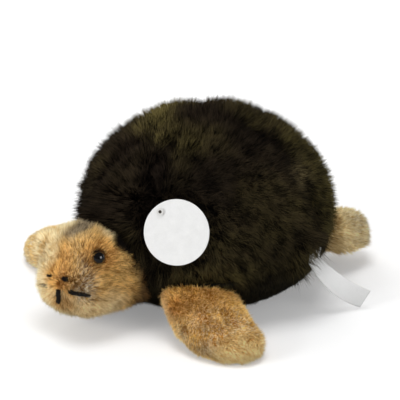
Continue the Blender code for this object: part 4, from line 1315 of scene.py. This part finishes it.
@dataclass
class Head:
    """The head: two cloth halves, its stuffing, the eyes and the stitched nose and mouth."""

    skin: HeadSkin
    body: BodySkin
    pile: Pile = Pile(density=12.4e6, length=0.0043, width=0.00032, lay_deg=34, lock_size=0.0011, gather=0.38,
                      swirl_deg=36, swirl_size=0.010, bulk=0.0014)
    rows: int = 44
    columns: int = 40
    eye_station: float = 0.635
    eye_angle_deg: float = 29
    eye_radius: float = 0.0032
    eye_height: float = 0.0026
    eye_shank: float = 0.0009
    thread_radius: float = 0.0007
    nostril_length: float = 0.0022
    nostril_station: float = 0.91
    nostril_angle_deg: float = 67
    mouth_height: float = 0.0012
    mouth_half_drop: float = 0.0034
    mouth_slant: float = 0.0008
    mouth_line_height: float = 0.0052
    mouth_corner_height: float = 0.0036
    mouth_station: float = 0.92
    mouth_corner_station: float = 0.80
    stitch_fullness: dict = field(default_factory=lambda: {
        "left_nostril_stitch": 1.8, "right_nostril_stitch": 1.2, "left_mouth_stitch": 1.8,
        "right_mouth_stitch": 1.4, "mouth_centre_stitch": 1.75})

    def __post_init__(self) -> None:
        """Finds the head's sleeve, and the eyes' and stitches' places on it."""
        self.sleeve = SleeveSkin(self.skin.sunk(self.pile.bulk), self.body, 0.02)
        self.stitches = self.stitch_paths()
        self.eyes = {side: self.eye_seat(side) for side in Side}

    def above(self, station: Array, angle: Array, clear: float) -> Array:
        """Points a set distance outside the head's skin."""
        station, angle = np.broadcast_arrays(np.asarray(station, float), np.asarray(angle, float))
        return self.skin.points(station, angle) + self.skin.normals(station, angle) * clear

    def angle_at(self, station: Array, height: Array, side: Side) -> Array:
        """The angle at which the skin is at a height above the neck, on one side."""
        _, _, chin, crown = self.skin.shares(station)
        top, bottom = self.skin.crown_rise * crown, -self.skin.chin_drop * chin
        share = (height - (top + bottom) / 2) / ((top - bottom) / 2)
        upward = np.arcsin(np.clip(signed_power(share, self.skin.squareness / 2), -1, 1))
        return upward if side is Side.LEFT else math.pi - upward

    def stitch_paths(self) -> dict[str, Array]:
        """The middle line of every stitch, laid on the skin."""
        part = np.linspace(0, 1, 25)
        station = self.mouth_station + (self.mouth_corner_station - self.mouth_station) * part
        height = self.mouth_line_height + (self.mouth_corner_height - self.mouth_line_height) * part
        paths = {}
        for side in Side:
            label = side.name.lower()
            clear = self.thread_radius * (0.7 if side is Side.LEFT else -0.4)
            angle = self.angle_at(station, height, side)
            paths[f"{label}_mouth_stitch"] = self.above(station, angle, clear)
            across = self.skin.turned[:, 0] * self.nostril_length / 2
            nose_angle = math.radians(self.nostril_angle_deg)
            nose_angle = nose_angle if side is Side.LEFT else math.pi - nose_angle
            centre = self.above(np.array(self.nostril_station), np.array(nose_angle), clear)
            paths[f"{label}_nostril_stitch"] = centre + across * np.linspace(-1, 1, 9)[:, None]
        stations = np.linspace(self.mouth_corner_station, 0.98, 60)
        heights = self.skin.local(self.skin.points(stations, np.full(60, -QUARTER)))[:, 2]
        wanted = self.mouth_height + self.mouth_half_drop * np.linspace(-1, 1, 15)
        found = np.interp(wanted, heights, stations)
        slant = self.skin.turned[:, 0] * self.mouth_slant * np.linspace(-1, 1, 15)[:, None]
        centre = self.above(found, np.full(15, -QUARTER), self.thread_radius * 0.7)
        paths["mouth_centre_stitch"] = centre + slant
        return paths

    def eye_seat(self, side: Side) -> tuple[Array, Array]:
        """An eye's place on the skin and the direction that it looks in."""
        angle = math.radians(self.eye_angle_deg)
        angle = angle if side is Side.LEFT else math.pi - angle
        station = np.array(self.eye_station)
        return self.skin.points(station, np.array(angle)), self.skin.normals(station, np.array(angle))

    def marks(self, place: Array, station: Array, angle: Array,
              rng: np.random.Generator) -> Array:
        """Head marks: 0 pale cream, partly painted light on the chin and the far half, 1 grey-brown,
        2 orange ridge, 3 dark speckle, 4 frosted tips, 5 darker towards the neck, painted shade under the
        shell, and 6 black, dyed at the near eyelid and painted shadow where the shell's edge hangs over
        the neck."""
        count = len(place)
        local = self.skin.local(place)
        middle = np.abs(local[:, 0]) / self.skin.half_width
        upper = ramp(local[:, 2], 0.004, 0.012)
        is_right = local[:, 0] < 0
        up_deg = np.degrees(np.where(angle > QUARTER, math.pi - angle, angle))
        cloud = smooth_noise(place, 0.011, 71)
        fine = smooth_noise(place, 0.004, 72)
        # paler on the chin (first line) and across the far half (third line): painted light
        pale = 0.55 * ramp(up_deg, -2, -30) * ramp(station, 0.35, 0.6)
        pale = pale + hill(station, 0.45, 0.08) * hill(up_deg, 62, 16)
        pale = pale + 1.2 * is_right * ramp(middle, 0.02, 0.30) * ramp(station, 0.25, 0.45)
        stripe = 1.3 * hill(station, 0.52, 0.17) * hill(middle, 0.02, 0.26) * upper
        ridge = ramp(station, 0.62, 0.74) * hill(middle, 0.02, 0.17) * ramp(up_deg, 0, 35)
        ridge = ridge + 0.7 * hill(station, 0.90, 0.07) * hill(middle, 0.12, 0.22)
        seen = distances(place, self.eyes[Side.LEFT][0])
        ridge = ridge + 1.2 * ramp(seen, 0.0125, 0.0065) * ramp(up_deg, 0, 15)
        speckle = hill(station, 0.76, 0.12) * hill(up_deg, 44, 28) * ramp(middle, 0.12, 0.3)
        frost = hill(station, 0.86, 0.09) * hill(up_deg, 6, 24) * ramp(middle, 0.22, 0.45)
        frost = (frost + 0.35 * speckle + 0.12) * (0.2 + 0.8 * ramp(seen, 0.0075, 0.0125))
        frost = np.clip(frost, 0, 1) * (rng.random(count) < 0.62)
        # darker towards the neck: painted shade where the head goes in under the shell
        neck = ramp(station, 0.42, 0.28)
        # black: dyed at the near eyelid, and painted shadow on the near half under the shell's overhanging
        # edge
        black = np.maximum(self.lid(place), self.overhang_painted_shadow(place, station, up_deg))
        marks = np.zeros((count, 8))
        marks[:, 0] = np.clip(pale + 0.35 * cloud * (pale > 0.05), 0, 1)
        marks[:, 1] = np.clip(stripe * (1.0 + 0.5 * fine), 0, 1)
        marks[:, 2] = np.clip(ridge + 0.3 * ridge * cloud, 0, 1)
        marks[:, 3] = np.clip(speckle * (1 - 0.7 * is_right), 0, 1) * (rng.random(count) < 0.55)
        marks[:, 4] = frost * (1 - 0.6 * is_right)
        marks[:, 5] = neck * 0.95
        marks[:, 6] = black
        return marks

    def overhang_painted_shadow(self, place: Array, station: Array, up_deg: Array) -> Array:
        """Painted shadow under the shell's edge: how far each place of the near half lies behind the line
        that the shell's edge hangs down to.
        """
        line = np.interp(up_deg, (3, 12, 24, 33, 45, 62, 80), (0.29, 0.37, 0.46, 0.50, 0.48, 0.41, 0.34))
        near_half = self.skin.local(place)[..., 0] > 0
        return ramp(line - station, -0.02, 0.03) * ramp(up_deg, 0, 6) * near_half

    def lid(self, place: Array) -> Array:
        """How black each place is: all round the near eye's rim, and further out above it."""
        centre = self.eyes[Side.LEFT][0]
        distance = distances(place, centre)
        above = ramp(place[..., 2], centre[2] - 0.0010, centre[2] + 0.0015)
        return np.maximum(ramp(distance, 0.0045, 0.0035), ramp(distance, 0.0053, 0.0043) * above)

    def clearing(self, place: Array) -> tuple[Array, Array]:
        """Shares of the length and lay of strands near the eyes and stitches, which stay in sight."""
        length, lay = np.ones(len(place)), np.ones(len(place))
        seen = distances(place, self.eyes[Side.LEFT][0])
        length *= 1 - 0.88 * ramp(seen, self.eye_radius + 0.0028, self.eye_radius)
        lay *= 1 - 0.7 * ramp(seen, self.eye_radius + 0.0020, self.eye_radius)
        hidden = distances(place, self.eyes[Side.RIGHT][0])
        tuft = ramp(hidden, self.eye_radius + 0.0045, self.eye_radius + 0.0015)
        length, lay = length * (1 + 0.9 * tuft), lay * (1 + 1.0 * tuft)
        for name, path in self.stitches.items():
            distance = np.linalg.norm(place[:, None, :] - path[None, ::2, :], axis=-1).min(axis=1)
            near = ramp(distance, 0.0022, 0.0008)
            if name.startswith("right"):
                length, lay = length * (1 + 0.4 * near), lay * (1 + 0.5 * near)
            else:
                length, lay = length * (1 - 0.7 * near), lay * (1 - 0.5 * near)
        return length, lay

    def roots(self, second: tuple[float, float], rng: np.random.Generator) -> Roots:
        """Roots over one half of the head."""
        one, other = scatter(self.sleeve, (0, 0.985), second, self.pile.density, rng)
        place, normal = self.sleeve.points(one, other), self.sleeve.normals(one, other)
        station = self.sleeve.share(one, other)
        length, lay = self.clearing(place)
        muzzle = ramp(station, 0.70, 0.90)
        nape = ramp(station, 0.42, 0.30) * ramp(np.sin(other), 0.1, 0.6)
        length = length * (1 - 0.25 * muzzle) * (1 - 0.4 * nape) * (1 + 0.2 * smooth_noise(place, 0.008, 81))
        lay = lay * (1 - 0.5 * nape) * (1 + 0.5 * smooth_noise(place, 0.006, 82))
        backward = self.skin.turned @ np.array((0, 1, -0.12))
        sidewards = unit(place - self.core_line(place)) * 0.25
        comb = along_surface(backward + sidewards, normal)
        marks = self.marks(place, station, other, rng)
        return kept_roots(place[:, 2] > BARE_BELOW, place, normal, comb, length, lay, marks)

    def core_line(self, place: Array) -> Array:
        """The nearest points to places on the head's own middle line."""
        local = self.skin.local(place)
        local[:, 0] = 0
        local[:, 2] = 0.008
        return local @ self.skin.turned.T + self.skin.neck

    def build_covers(self, material: Material) -> None:
        """The two cloth halves, joined down the middle of the face."""
        start = self.skin.neck
        for side, angles in ((Side.LEFT, (-QUARTER, QUARTER)), (Side.RIGHT, (QUARTER, 3 * QUARTER))):
            label = side.name.lower()
            rng = np.random.default_rng(300 + side.value)
            outside, inside = self.sleeve.layers(self.rows, angles, self.columns)
            shift = self.skin.turned[:, 0] * side.value * SEAM_GAP / 2
            patch = cloth(outside + shift, inside + shift)
            patch.marks[:, 3] = 0.4
            patch.marks[:, 6] = self.lid(patch.points)
            strands = grow(self.roots(angles, rng), self.pile, rng, 320)
            obj = build_mesh(f"head_{label}_pile", [patch, strands])
            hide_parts(f"head_{label}_cover")
            dress(obj, material, "head_plush", None)
            tuple(start)
            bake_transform(obj)

    def build_stuffing(self, material: Material) -> None:
        """The stuffing inside the head."""
        points = self.sleeve.filling(0.07, 30, 64, -QUARTER)
        lumps = 0.0004 * (1 + smooth_noise(points, 0.006, 91))[..., None]
        points = points - unit(points - self.core_line(points.reshape(-1, 3)).reshape(points.shape)) * lumps
        obj = build_mesh("head_stuffing_fibre", [closed_form(points)])
        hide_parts("head_stuffing")
        dress(obj, material, "stuffing", "head")

    def build_eyes(self, material: Material) -> None:
        """The two domed buttons on their shanks. The dome is a quarter of an ellipse turned round its
        axis."""
        arc = np.linspace(QUARTER, 0, 20)[1:]
        radius = np.concatenate([self.eye_radius * np.cos(arc), [self.eye_radius * 0.96, self.eye_shank,
                                                                  self.eye_shank]])
        height = np.concatenate([0.0006 + self.eye_height * np.sin(arc), [SEAM_GAP, SEAM_GAP, -0.0080]])
        for side, (centre, normal) in self.eyes.items():
            name = f"{side.name.lower()}_eye"
            obj = build_mesh(f"{name}_button", [turned(radius, height, centre, normal, 48)])
            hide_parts(name)
            dress(obj, material, "eye_plastic", "head")

    def build_stitches(self, material: Material) -> None:
        """Every stitch as a bundle of fine threads."""
        for name, path in self.stitches.items():
            taper = 1 - 0.45 * np.linspace(0, 1, len(path)) if "mouth_stitch" in name else np.ones(len(path))
            radius = self.thread_radius * self.stitch_fullness[name] * taper
            overrun = 1.0 if name.endswith("t_mouth_stitch") else 0.3
            threads = bundle(path, radius, 12, overrun, np.random.default_rng(len(name)))
            obj = build_mesh(f"{name}_thread", threads)
            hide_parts(name)
            dress(obj, material, "thread", "head")


def frame_axes(normal: Array) -> tuple[Array, Array]:
    """Two unit directions at right angles to a normal and to each other."""
    side = unit(np.cross(np.array((0.0, 0.0, 1.0)), normal))
    return side, np.cross(normal, side)


def turned(radius: Array, height: Array, centre: Array, normal: Array,
           sides: int) -> Patch:
    """A turned piece: its profile of radii and heights carried round an axis, closed on it at both ends."""
    side, other = frame_axes(normal)
    angle = full_turn(sides)
    ring = np.cos(angle)[:, None] * side + np.sin(angle)[:, None] * other
    rings = centre + radius[:, None, None] * ring + height[:, None, None] * normal
    return closed_form(rings)


def bundle(path: Array, radius: Array, threads: int, overrun: float,
           rng: np.random.Generator) -> list[Patch]:
    """Fine threads wound round a path: each one is a tube whose middle circles the path, and ends where it
    will.

    Args:
        path: points of the middle line.
        radius: the bundle's radius at each point.
        threads: how many threads there are.
        overrun: how far they run past the path's ends, as a share of the radius.
        rng: the source of how far each thread runs and strays.

    Returns:
        One closed tube for each thread.
    """
    course = unit(np.gradient(path, axis=0))
    side = unit(np.cross(course, np.array((0.0, 0.0, 1.0)) + 0.01))
    other = np.cross(course, side)
    ring = full_turn(7)
    share = np.linspace(0, 1, len(path))
    tubes = []
    for thread in range(threads):
        angle = 1.2 * math.pi * share + thread * 2 * math.pi / threads
        away = side * np.cos(angle)[:, None] + other * np.sin(angle)[:, None]
        stray = 0.62 + 0.25 * np.sin(2 * math.pi * (rng.random() + rng.uniform(1, 2) * share))
        centre = path + away * (radius * stray)[:, None]
        run = rng.uniform(0.3, 1.6) * (2 * share - 1) + rng.uniform(-0.5, 0.5)
        centre = centre + course * (overrun * run * radius)[:, None]
        round_it = np.cos(ring)[:, None] * side[:, None, :] + np.sin(ring)[:, None] * other[:, None, :]
        thickness = radius * rng.uniform(0.24, 0.36)
        tubes.append(closed_form(centre[:, None, :] + round_it * thickness[:, None, None]))
    return tubes


@dataclass
class Limb:
    """One limb: an upper and a lower cloth and the stuffing between them. The toe's paleness is given for
    the near side, which is the left, where it is partly a painted highlight, and for the far one."""

    name: str
    body_name: str
    skin: LimbSkin
    body: BodySkin
    pile: Pile
    slot: str
    seed: int
    bare_below: float = 0.0004
    near_toe_and_highlight: float = 1.0
    far_toe: float = 0.3
    rows: int = 30
    columns: int = 34

    def __post_init__(self) -> None:
        """Finds the sleeve that starts on the body."""
        self.sleeve = SleeveSkin(self.skin.sunk(self.pile.bulk), self.body, -0.25)

    def marks(self, place: Array, share: Array, angle: Array,
              rng: np.random.Generator) -> Array:
        """Limb marks: 0 frosted tips, 1 grey-brown along the side seam, 2 dark whorls and painted shade
        near the root, under the shell, and 3 pale sole and toe, partly a painted highlight at the near toe."""
        count = len(place)
        cloud = smooth_noise(place, 0.010, self.seed)
        edge = hill(np.sin(angle), -0.05, 0.35)
        marks = np.zeros((count, 8))
        marks[:, 0] = (rng.random(count) < 0.42 + 0.35 * cloud) * (0.35 + 0.65 * ramp(share, 0.15, 0.7))
        marks[:, 1] = np.clip(edge * (0.45 + 0.4 * cloud), 0, 1)
        # painted shade: darker near the root, where the limb goes in under the shell
        fold = 0.6 * ramp(share, 0.30, 0.05) if self.slot == "leg_plush" else 0.4 * ramp(share, 0.35, 0.1)
        marks[:, 2] = np.clip(0.35 * ramp(cloud, 0.2, 0.7) + fold, 0, 1)
        # the near toe is paler partly as a painted highlight
        toe = (self.near_toe_and_highlight if self.skin.side is Side.LEFT else self.far_toe) * ramp(share, 0.72, 0.92)
        marks[:, 3] = np.maximum(ramp(np.sin(angle), -0.1, -0.7) * 0.8, toe)
        return marks

    def roots(self, second: tuple[float, float], rng: np.random.Generator) -> Roots:
        """Roots over one cloth of the limb."""
        one, other = scatter(self.sleeve, (0, 0.97), second, self.pile.density, rng)
        place, normal = self.sleeve.points(one, other), self.sleeve.normals(one, other)
        share = self.sleeve.share(one, other)
        length = 1 + 0.2 * smooth_noise(place, 0.008, self.seed + 1)
        above = ramp(place[:, 2], 0.0004, 0.0030)
        lay = (1 + 0.4 * smooth_noise(place, 0.006, self.seed + 2)) * (0.1 + 0.9 * above)
        length = length * (0.45 + 0.55 * above)
        if self.slot == "leg_plush":
            length = length * (1 + 0.35 * ramp(np.sin(other), 0.35, -0.1) * ramp(share, 0.2, 0.7))
        lay = lay * (1 + 0.8 * ramp(share, 0.26, 0.08) * ramp(np.sin(other), 0.0, 0.5))
        outward = self.skin.outward * np.array((self.skin.side.value, 1, 1))
        comb = along_surface(outward + np.array((0, 0, -0.25)), normal)
        marks = self.marks(place, share, other, rng)
        return kept_roots(place[:, 2] > self.bare_below, place, normal, comb, length, lay, marks)

    def build(self, plush: Material, fibre: Material) -> None:
        """The limb's three pieces."""
        root = self.skin.on_side(self.skin.root)
        for half in Half:
            label = half.name.lower()
            rng = np.random.default_rng(self.seed + 10 + half.value[0])
            angles = (half.value[0] * math.pi, half.value[1] * math.pi)
            outside, inside = self.sleeve.layers(self.rows, angles, self.columns)
            lift = SEAM_GAP / 2 if half is Half.UPPER else -SEAM_GAP / 2
            for grid in (outside, inside):
                grid[..., 2] = np.maximum(grid[..., 2] + lift, 0)
            patch = cloth(outside, inside)
            strands = grow(self.roots(angles, rng), self.pile, rng, self.seed + 20)
            obj = build_mesh(f"{self.name}_{label}_pile", [patch, strands])
            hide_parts(f"{self.name}_{label}_cover")
            dress(obj, plush, self.slot, None)
            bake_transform(obj)
        stuffed_from = 0.17 if self.slot == "leg_plush" else 0.07
        points = self.sleeve.filling(stuffed_from, 24, 48)
        obj = build_mesh(f"{self.name}_stuffing_fibre", [closed_form(points)])
        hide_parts(f"{self.name}_stuffing")
        dress(obj, fibre, "stuffing", self.body_name)


def build_tail(body: BodySkin, plush: Material) -> None:
    """The small tail, one closed plush point sewn fast under the rear rim."""
    pile = Pile(density=8.0e6, length=0.0042, width=0.00034, lay_deg=30, lock_size=0.0014, gather=0.35,
                swirl_deg=24, swirl_size=0.010, bulk=0.0010)
    skin = LimbSkin(body, Side.LEFT, root_turn_deg=180, root_height=0.0240, heading_deg=180, length=0.0150,
                    bend=0.0, half_width=0.0060, half_thickness=0.0042, thinning=0.45, tip_height=0.0200)
    limb = Limb("tail", "body", skin, body, pile, "leg_plush", 900)
    first, second = grid(np.linspace(0.01, 1, 16), full_turn(40))
    rng = np.random.default_rng(901)
    strands = grow(limb.roots((0, 2 * math.pi), rng), pile, rng, 905)
    obj = build_mesh("tail_pile", [closed_form(limb.sleeve.points(first, second)), strands])
    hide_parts("tail")
    dress(obj, plush, "leg_plush", "body")


@dataclass
class HangTag:
    """The round card and the pin that holds it."""

    body: BodySkin
    thickness: float = 0.0008
    stand_off: float = 0.0006
    hole: float = 0.0014
    pin_offset: float = 0.0139
    clock_deg: float = 42

    def build(self, card: Material, effects: Effects) -> None:
        """The card: rings between the hole and the rim, with rounded edges, both faces in one closed
        strip."""
        place, normal = self.body.spot(TAG_TURN_DEG, TAG_RISE_DEG)
        centre = place + normal * self.stand_off
        upward = unit(np.array((0, 0, 1.0)) - normal * normal[2])
        rightward = np.cross(upward, normal)
        clock = math.radians(self.clock_deg)
        pin = (upward * math.cos(clock) - rightward * math.sin(clock)) * self.pin_offset
        angle = full_turn(128)
        ring = np.cos(angle)[:, None] * rightward + np.sin(angle)[:, None] * upward
        edge = 0.12
        shares = (0, 0.02, 0.25, 0.5, 0.75, 0.97, 0.99, 1, 1, 0.99, 0.97, 0.5, 0.02, 0)
        heights = (edge, 0, 0, 0, 0, 0, 0.02, edge, 1 - edge, 0.98, 1, 1, 1, 1 - edge)
        rows = []
        for share, height in zip(shares, heights):
            flat = (pin + ring * self.hole) * (1 - share) + ring * TAG_RADIUS * share
            rows.append(centre + flat + normal * self.thickness * height)
        points = np.array(rows)
        rows_count, columns = points.shape[:2]
        closed = np.concatenate([points, points[:1]])
        quads = grid_quads(rows_count + 1, columns, True)
        flat_map = np.stack(np.divmod(np.arange((rows_count + 1) * columns), columns), axis=-1)
        flat_map = flat_map / np.array((rows_count + 1, columns)) * 0.98
        whole = closed.reshape(-1, 3)
        a, b, d = (whole[quads[:, corner]] for corner in (0, 1, 3))
        top = (quads[:, 0] // columns) == 11
        if (np.cross(b - a, d - a)[top] @ normal).sum() < 0:
            quads = quads[:, ::-1]
        obj = build_mesh("hang_tag_card", [bare_patch(whole, quads, flat_map[quads])], smooth=False)
        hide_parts("hang_tag")
        dress(obj, card, "card", "hang_tag")
        dress_node("tag_pin", PIN_FINISH.make(effects, centre + pin, normal))


def dress_node(name: str, material: Material) -> None:
    """Gives a carried-over node of the frame its finish."""
    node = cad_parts[name]
    node.data.materials.clear()
    node.data.materials.append(material)
    LOG.info("%s: kept from the frame", name)


@dataclass
class Label:
    """The woven side label: a riveted tab and the flag that stands out from its fold, in one ribbon."""

    body: BodySkin
    width: float = 0.0110
    thickness: float = 0.0006
    fold_rise_deg: float = -10.5
    tab_rise_deg: float = -4.5
    fold_gap: float = 0.0006
    reach: tuple = (0.0212, 0.0185, -0.0245)
    spread_deg: float = 45
    fullness: float = 0.36
    end_edge: tuple = (0.48, 0.42, 0.77)
    end_course: tuple = (0.43, 0.78, -0.46)

    def build(self, ribbon: Material, metal: Material) -> None:
        """The ribbon: its middle line runs down the tab and round the fold, then along a cubic Bezier
        curve."""
        turn = math.radians(LABEL_TURN_DEG)
        fold_rise, tab_rise = math.radians(self.fold_rise_deg), math.radians(self.tab_rise_deg)
        place, normal = self.body.spot(LABEL_TURN_DEG, self.fold_rise_deg)
        level = unit(normal * np.array((1, 1, 0)))
        backward = np.array((-level[1], level[0], 0))
        lift = SEAM_GAP + self.thickness / 2
        fold = place + normal * lift
        fold = fold - np.array((0, 0, self.fold_gap))
        axes = np.array([level, backward, (0, 0, 1)])
        spread = math.radians(self.spread_deg)
        first = np.array((math.sin(spread), 0, -math.cos(spread))) @ axes
        last, end = np.array(self.end_course) @ axes, np.array(self.reach) @ axes
        pull = np.linalg.norm(end) * self.fullness
        part = np.linspace(0, 1, 49)[:, None]
        flag = fold + (3 * part * (1 - part) ** 2 * first * pull
                       + 3 * part**2 * (1 - part) * (end - last * pull) + part**3 * end)
        rises = np.linspace(tab_rise, fold_rise, 10)[:-1]
        tab = self.body.points(np.full(9, turn), rises, -lift)
        middle = np.concatenate([tab, flag])
        course = unit(np.gradient(middle, axis=0))
        share = np.concatenate([np.zeros(9), part[:, 0]])[:, None]
        breadth = (1 - share) * backward + share * (np.array(self.end_edge) @ axes)
        breadth = along_surface(breadth, course)
        facing = np.cross(breadth, course)
        across = np.linspace(-0.5, 0.5, 13)
        centre = middle[:, None, :] + across[:, None] * self.width * breadth[:, None, :]
        half = facing[:, None, :] * self.thickness / 2
        patch = cloth(centre + half, centre - half)
        rows = np.repeat(np.arange(len(middle)) / len(middle), 13)
        columns = np.tile(across + 0.5, len(middle))
        patch.marks[:, 0] = np.tile(columns, 2)
        patch.marks[:, 1] = np.tile(rows, 2)
        obj = build_mesh("side_label_ribbon", [patch])
        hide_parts("label_tab", "side_label")
        dress(obj, ribbon, "ribbon", None)
        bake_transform(obj)
        for name in ("label_rivet", "label_rivet_washer"):
            dress_node(name, metal)


@dataclass
class Studio:
    """The pale floor, the soft lights and the camera."""

    picture: int = 400
    azimuth_deg: float = 52.5
    elevation_deg: float = 24
    distance: float = 3.0
    focal_pixels: float = 5520
    sensor: float = 36
    aim_right: float = -0.00326
    aim_up: float = 0.0462
    aim: tuple = (0, 0, 0.04)
    lamps: tuple = (("key", (0.10, -0.05, 1.50), 0.8, 10.5, False),
                    ("front", (-0.10, -1.45, 0.50), 0.6, 12, False),
                    ("right", (1.45, 0.10, 0.70), 0.9, 6, True),
                    ("back", (-1.1, 0.3, 0.8), 0.8, 6, False))

    def build_camera(self, target: Array) -> None:
        """The camera, at the photograph's angle and framing."""
        azimuth, elevation = math.radians(self.azimuth_deg), math.radians(self.elevation_deg)
        back = Vector((math.sin(azimuth) * math.cos(elevation), -math.cos(azimuth) * math.cos(elevation),
                       math.sin(elevation)))
        right = Vector((math.cos(azimuth), math.sin(azimuth), 0))
        upward = back.cross(right)
        data = bpy.data.cameras.new("camera")
        data.sensor_width = self.sensor
        data.lens = self.focal_pixels / self.picture * self.sensor
        data.clip_start, data.clip_end = 0.1, 30
        camera = bpy.data.objects.new("camera", data)
        link(camera)
        aim = Vector(target) + right * self.aim_right + upward * self.aim_up
        camera.location = Vector(target) + back * self.distance
        camera.rotation_mode = "QUATERNION"
        camera.rotation_quaternion = (aim - camera.location).to_track_quat("-Z", "Y")
        bpy.context.scene.camera = camera

    def build_light(self, name: str, place: tuple, size: float, watts: float, shines: bool) -> None:
        """One square area light, turned towards the toy. Where it doesn't shine, gloss shows no spot of
        it."""
        data = bpy.data.lights.new(name, "AREA")
        data.size = size
        data.energy = watts
        light = bpy.data.objects.new(name, data)
        light.location = place
        light.rotation_mode = "QUATERNION"
        light.rotation_quaternion = (Vector(self.aim) - Vector(place)).to_track_quat("-Z", "Y")
        light.visible_glossy = shines
        link(light)

    def build_floor(self) -> None:
        """The floor: it keeps the toy's shadow, and what the camera sees of it elsewhere comes out white."""
        mesh = bpy.data.meshes.new("floor")
        half = 8.0
        mesh.from_pydata([(-half, -half, 0), (half, -half, 0), (half, half, 0), (-half, half, 0)], [],
                         [(0, 1, 2, 3)])
        floor = bpy.data.objects.new("floor", mesh)
        link(floor)
        board = Board("floor_white")
        paths = board.tree.nodes.new("ShaderNodeLightPath").outputs
        seen = paths["Is Camera Ray"]
        grain = noise(board.tree, 0.05)
        pale = mixed(board.tree, grain, tone(223, 223, 223), tone(227, 227, 227))
        board.feed("Base Color", mixed(board.tree, paths["Is Glossy Ray"], pale, tone(110, 110, 110)))
        board.set(roughness=0.9, specular_ior_level=0.0, emission_color=(1, 1, 1, 1))
        board.feed("Emission Strength", maths(board.tree, "MULTIPLY", seen, 0.24))
        mesh.materials.append(board.material)

    def build_world(self) -> None:
        """An even pale world: soft fill for the toy, white where the camera sees it and dim in
        reflections."""
        world = bpy.data.worlds.new("studio")
        world.use_nodes = True
        tree = world.node_tree
        background = tree.nodes["Background"]
        background.inputs["Color"].default_value = (1, 1, 1, 1)
        paths = tree.nodes.new("ShaderNodeLightPath").outputs
        strength = ranged(tree, paths["Is Camera Ray"], (0, 1), (0.38, 1.0))
        dimmed = ranged(tree, paths["Is Glossy Ray"], (0, 1), (1.0, 0.15))
        strength = maths(tree, "MULTIPLY", strength, dimmed)
        tree.links.new(strength, background.inputs["Strength"])
        bpy.context.scene.world = world

    def build(self, target: Array) -> None:
        """The whole studio."""
        bpy.context.scene.view_settings.view_transform = "Standard"
        self.build_camera(target)
        self.build_floor()
        self.build_world()
        for lamp in self.lamps:
            self.build_light(*lamp)


def main() -> None:
    """Builds and dresses every piece in order, then the studio."""
    logging.basicConfig(level=logging.INFO, format="%(message)s")
    effects = Effects()
    body = BodySkin()
    fibre = FIBRE_FINISH.make(effects)
    plastic = PLASTIC_FINISH.make(effects)
    shell = Shell(body)
    shell.build_panels(SHELL_FINISH.make(effects))
    shell.build_belly(BELLY_FINISH.make(effects))
    shell.build_stuffing(fibre)
    head = Head(HeadSkin(body), body)
    head.build_covers(HEAD_FINISH.make(effects))
    head.build_stuffing(fibre)
    head.build_eyes(EYE_FINISH.make(effects))
    head.build_stitches(THREAD_FINISH.make(effects))
    for name in ("left_eye_washer", "right_eye_washer"):
        dress_node(name, plastic)
    flipper_plush, leg_plush = FLIPPER_FINISH.make(effects), LEG_FINISH.make(effects)
    flipper_pile = Pile(density=11.0e6, length=0.0036, width=0.00030, lay_deg=36, lock_size=0.0010,
                        gather=0.4, swirl_deg=50, swirl_size=0.007)
    leg_pile = Pile(density=10.0e6, length=0.0042, width=0.00032, lay_deg=36, lock_size=0.0012,
                    gather=0.4, swirl_deg=36, swirl_size=0.010)
    for side in Side:
        label = side.name.lower()
        flipper = LimbSkin(body, side, root_turn_deg=51.0, root_height=0.0175, heading_deg=71.5,
                           length=0.0499, bend=-0.0095, half_width=0.0205, half_thickness=0.0128,
                           thinning=0.10, tip_height=0.0052)
        Limb(f"front_{label}_flipper", f"front_{label}_flipper", flipper, body, flipper_pile, "flipper_plush",
             500 + 40 * side.value).build(flipper_plush, fibre)
        leg = LimbSkin(body, side, root_turn_deg=157, root_height=0.0198, heading_deg=174, length=0.0335,
                       bend=-0.0080, half_width=0.0118, half_thickness=0.0166, thinning=0.05,
                       tip_height=0.0154, squareness=2.9)
        Limb(f"rear_{label}_leg", f"rear_{label}_leg", leg, body, leg_pile, "leg_plush",
             700 + 40 * side.value).build(leg_plush, fibre)
    build_tail(body, leg_plush)
    HangTag(body).build(CARD_FINISH.make(effects), effects)
    Label(body).build(RIBBON_FINISH.make(effects), METAL_FINISH.make(effects))
    Studio().build(body.origin)


if __name__ == "__main__":
    main()
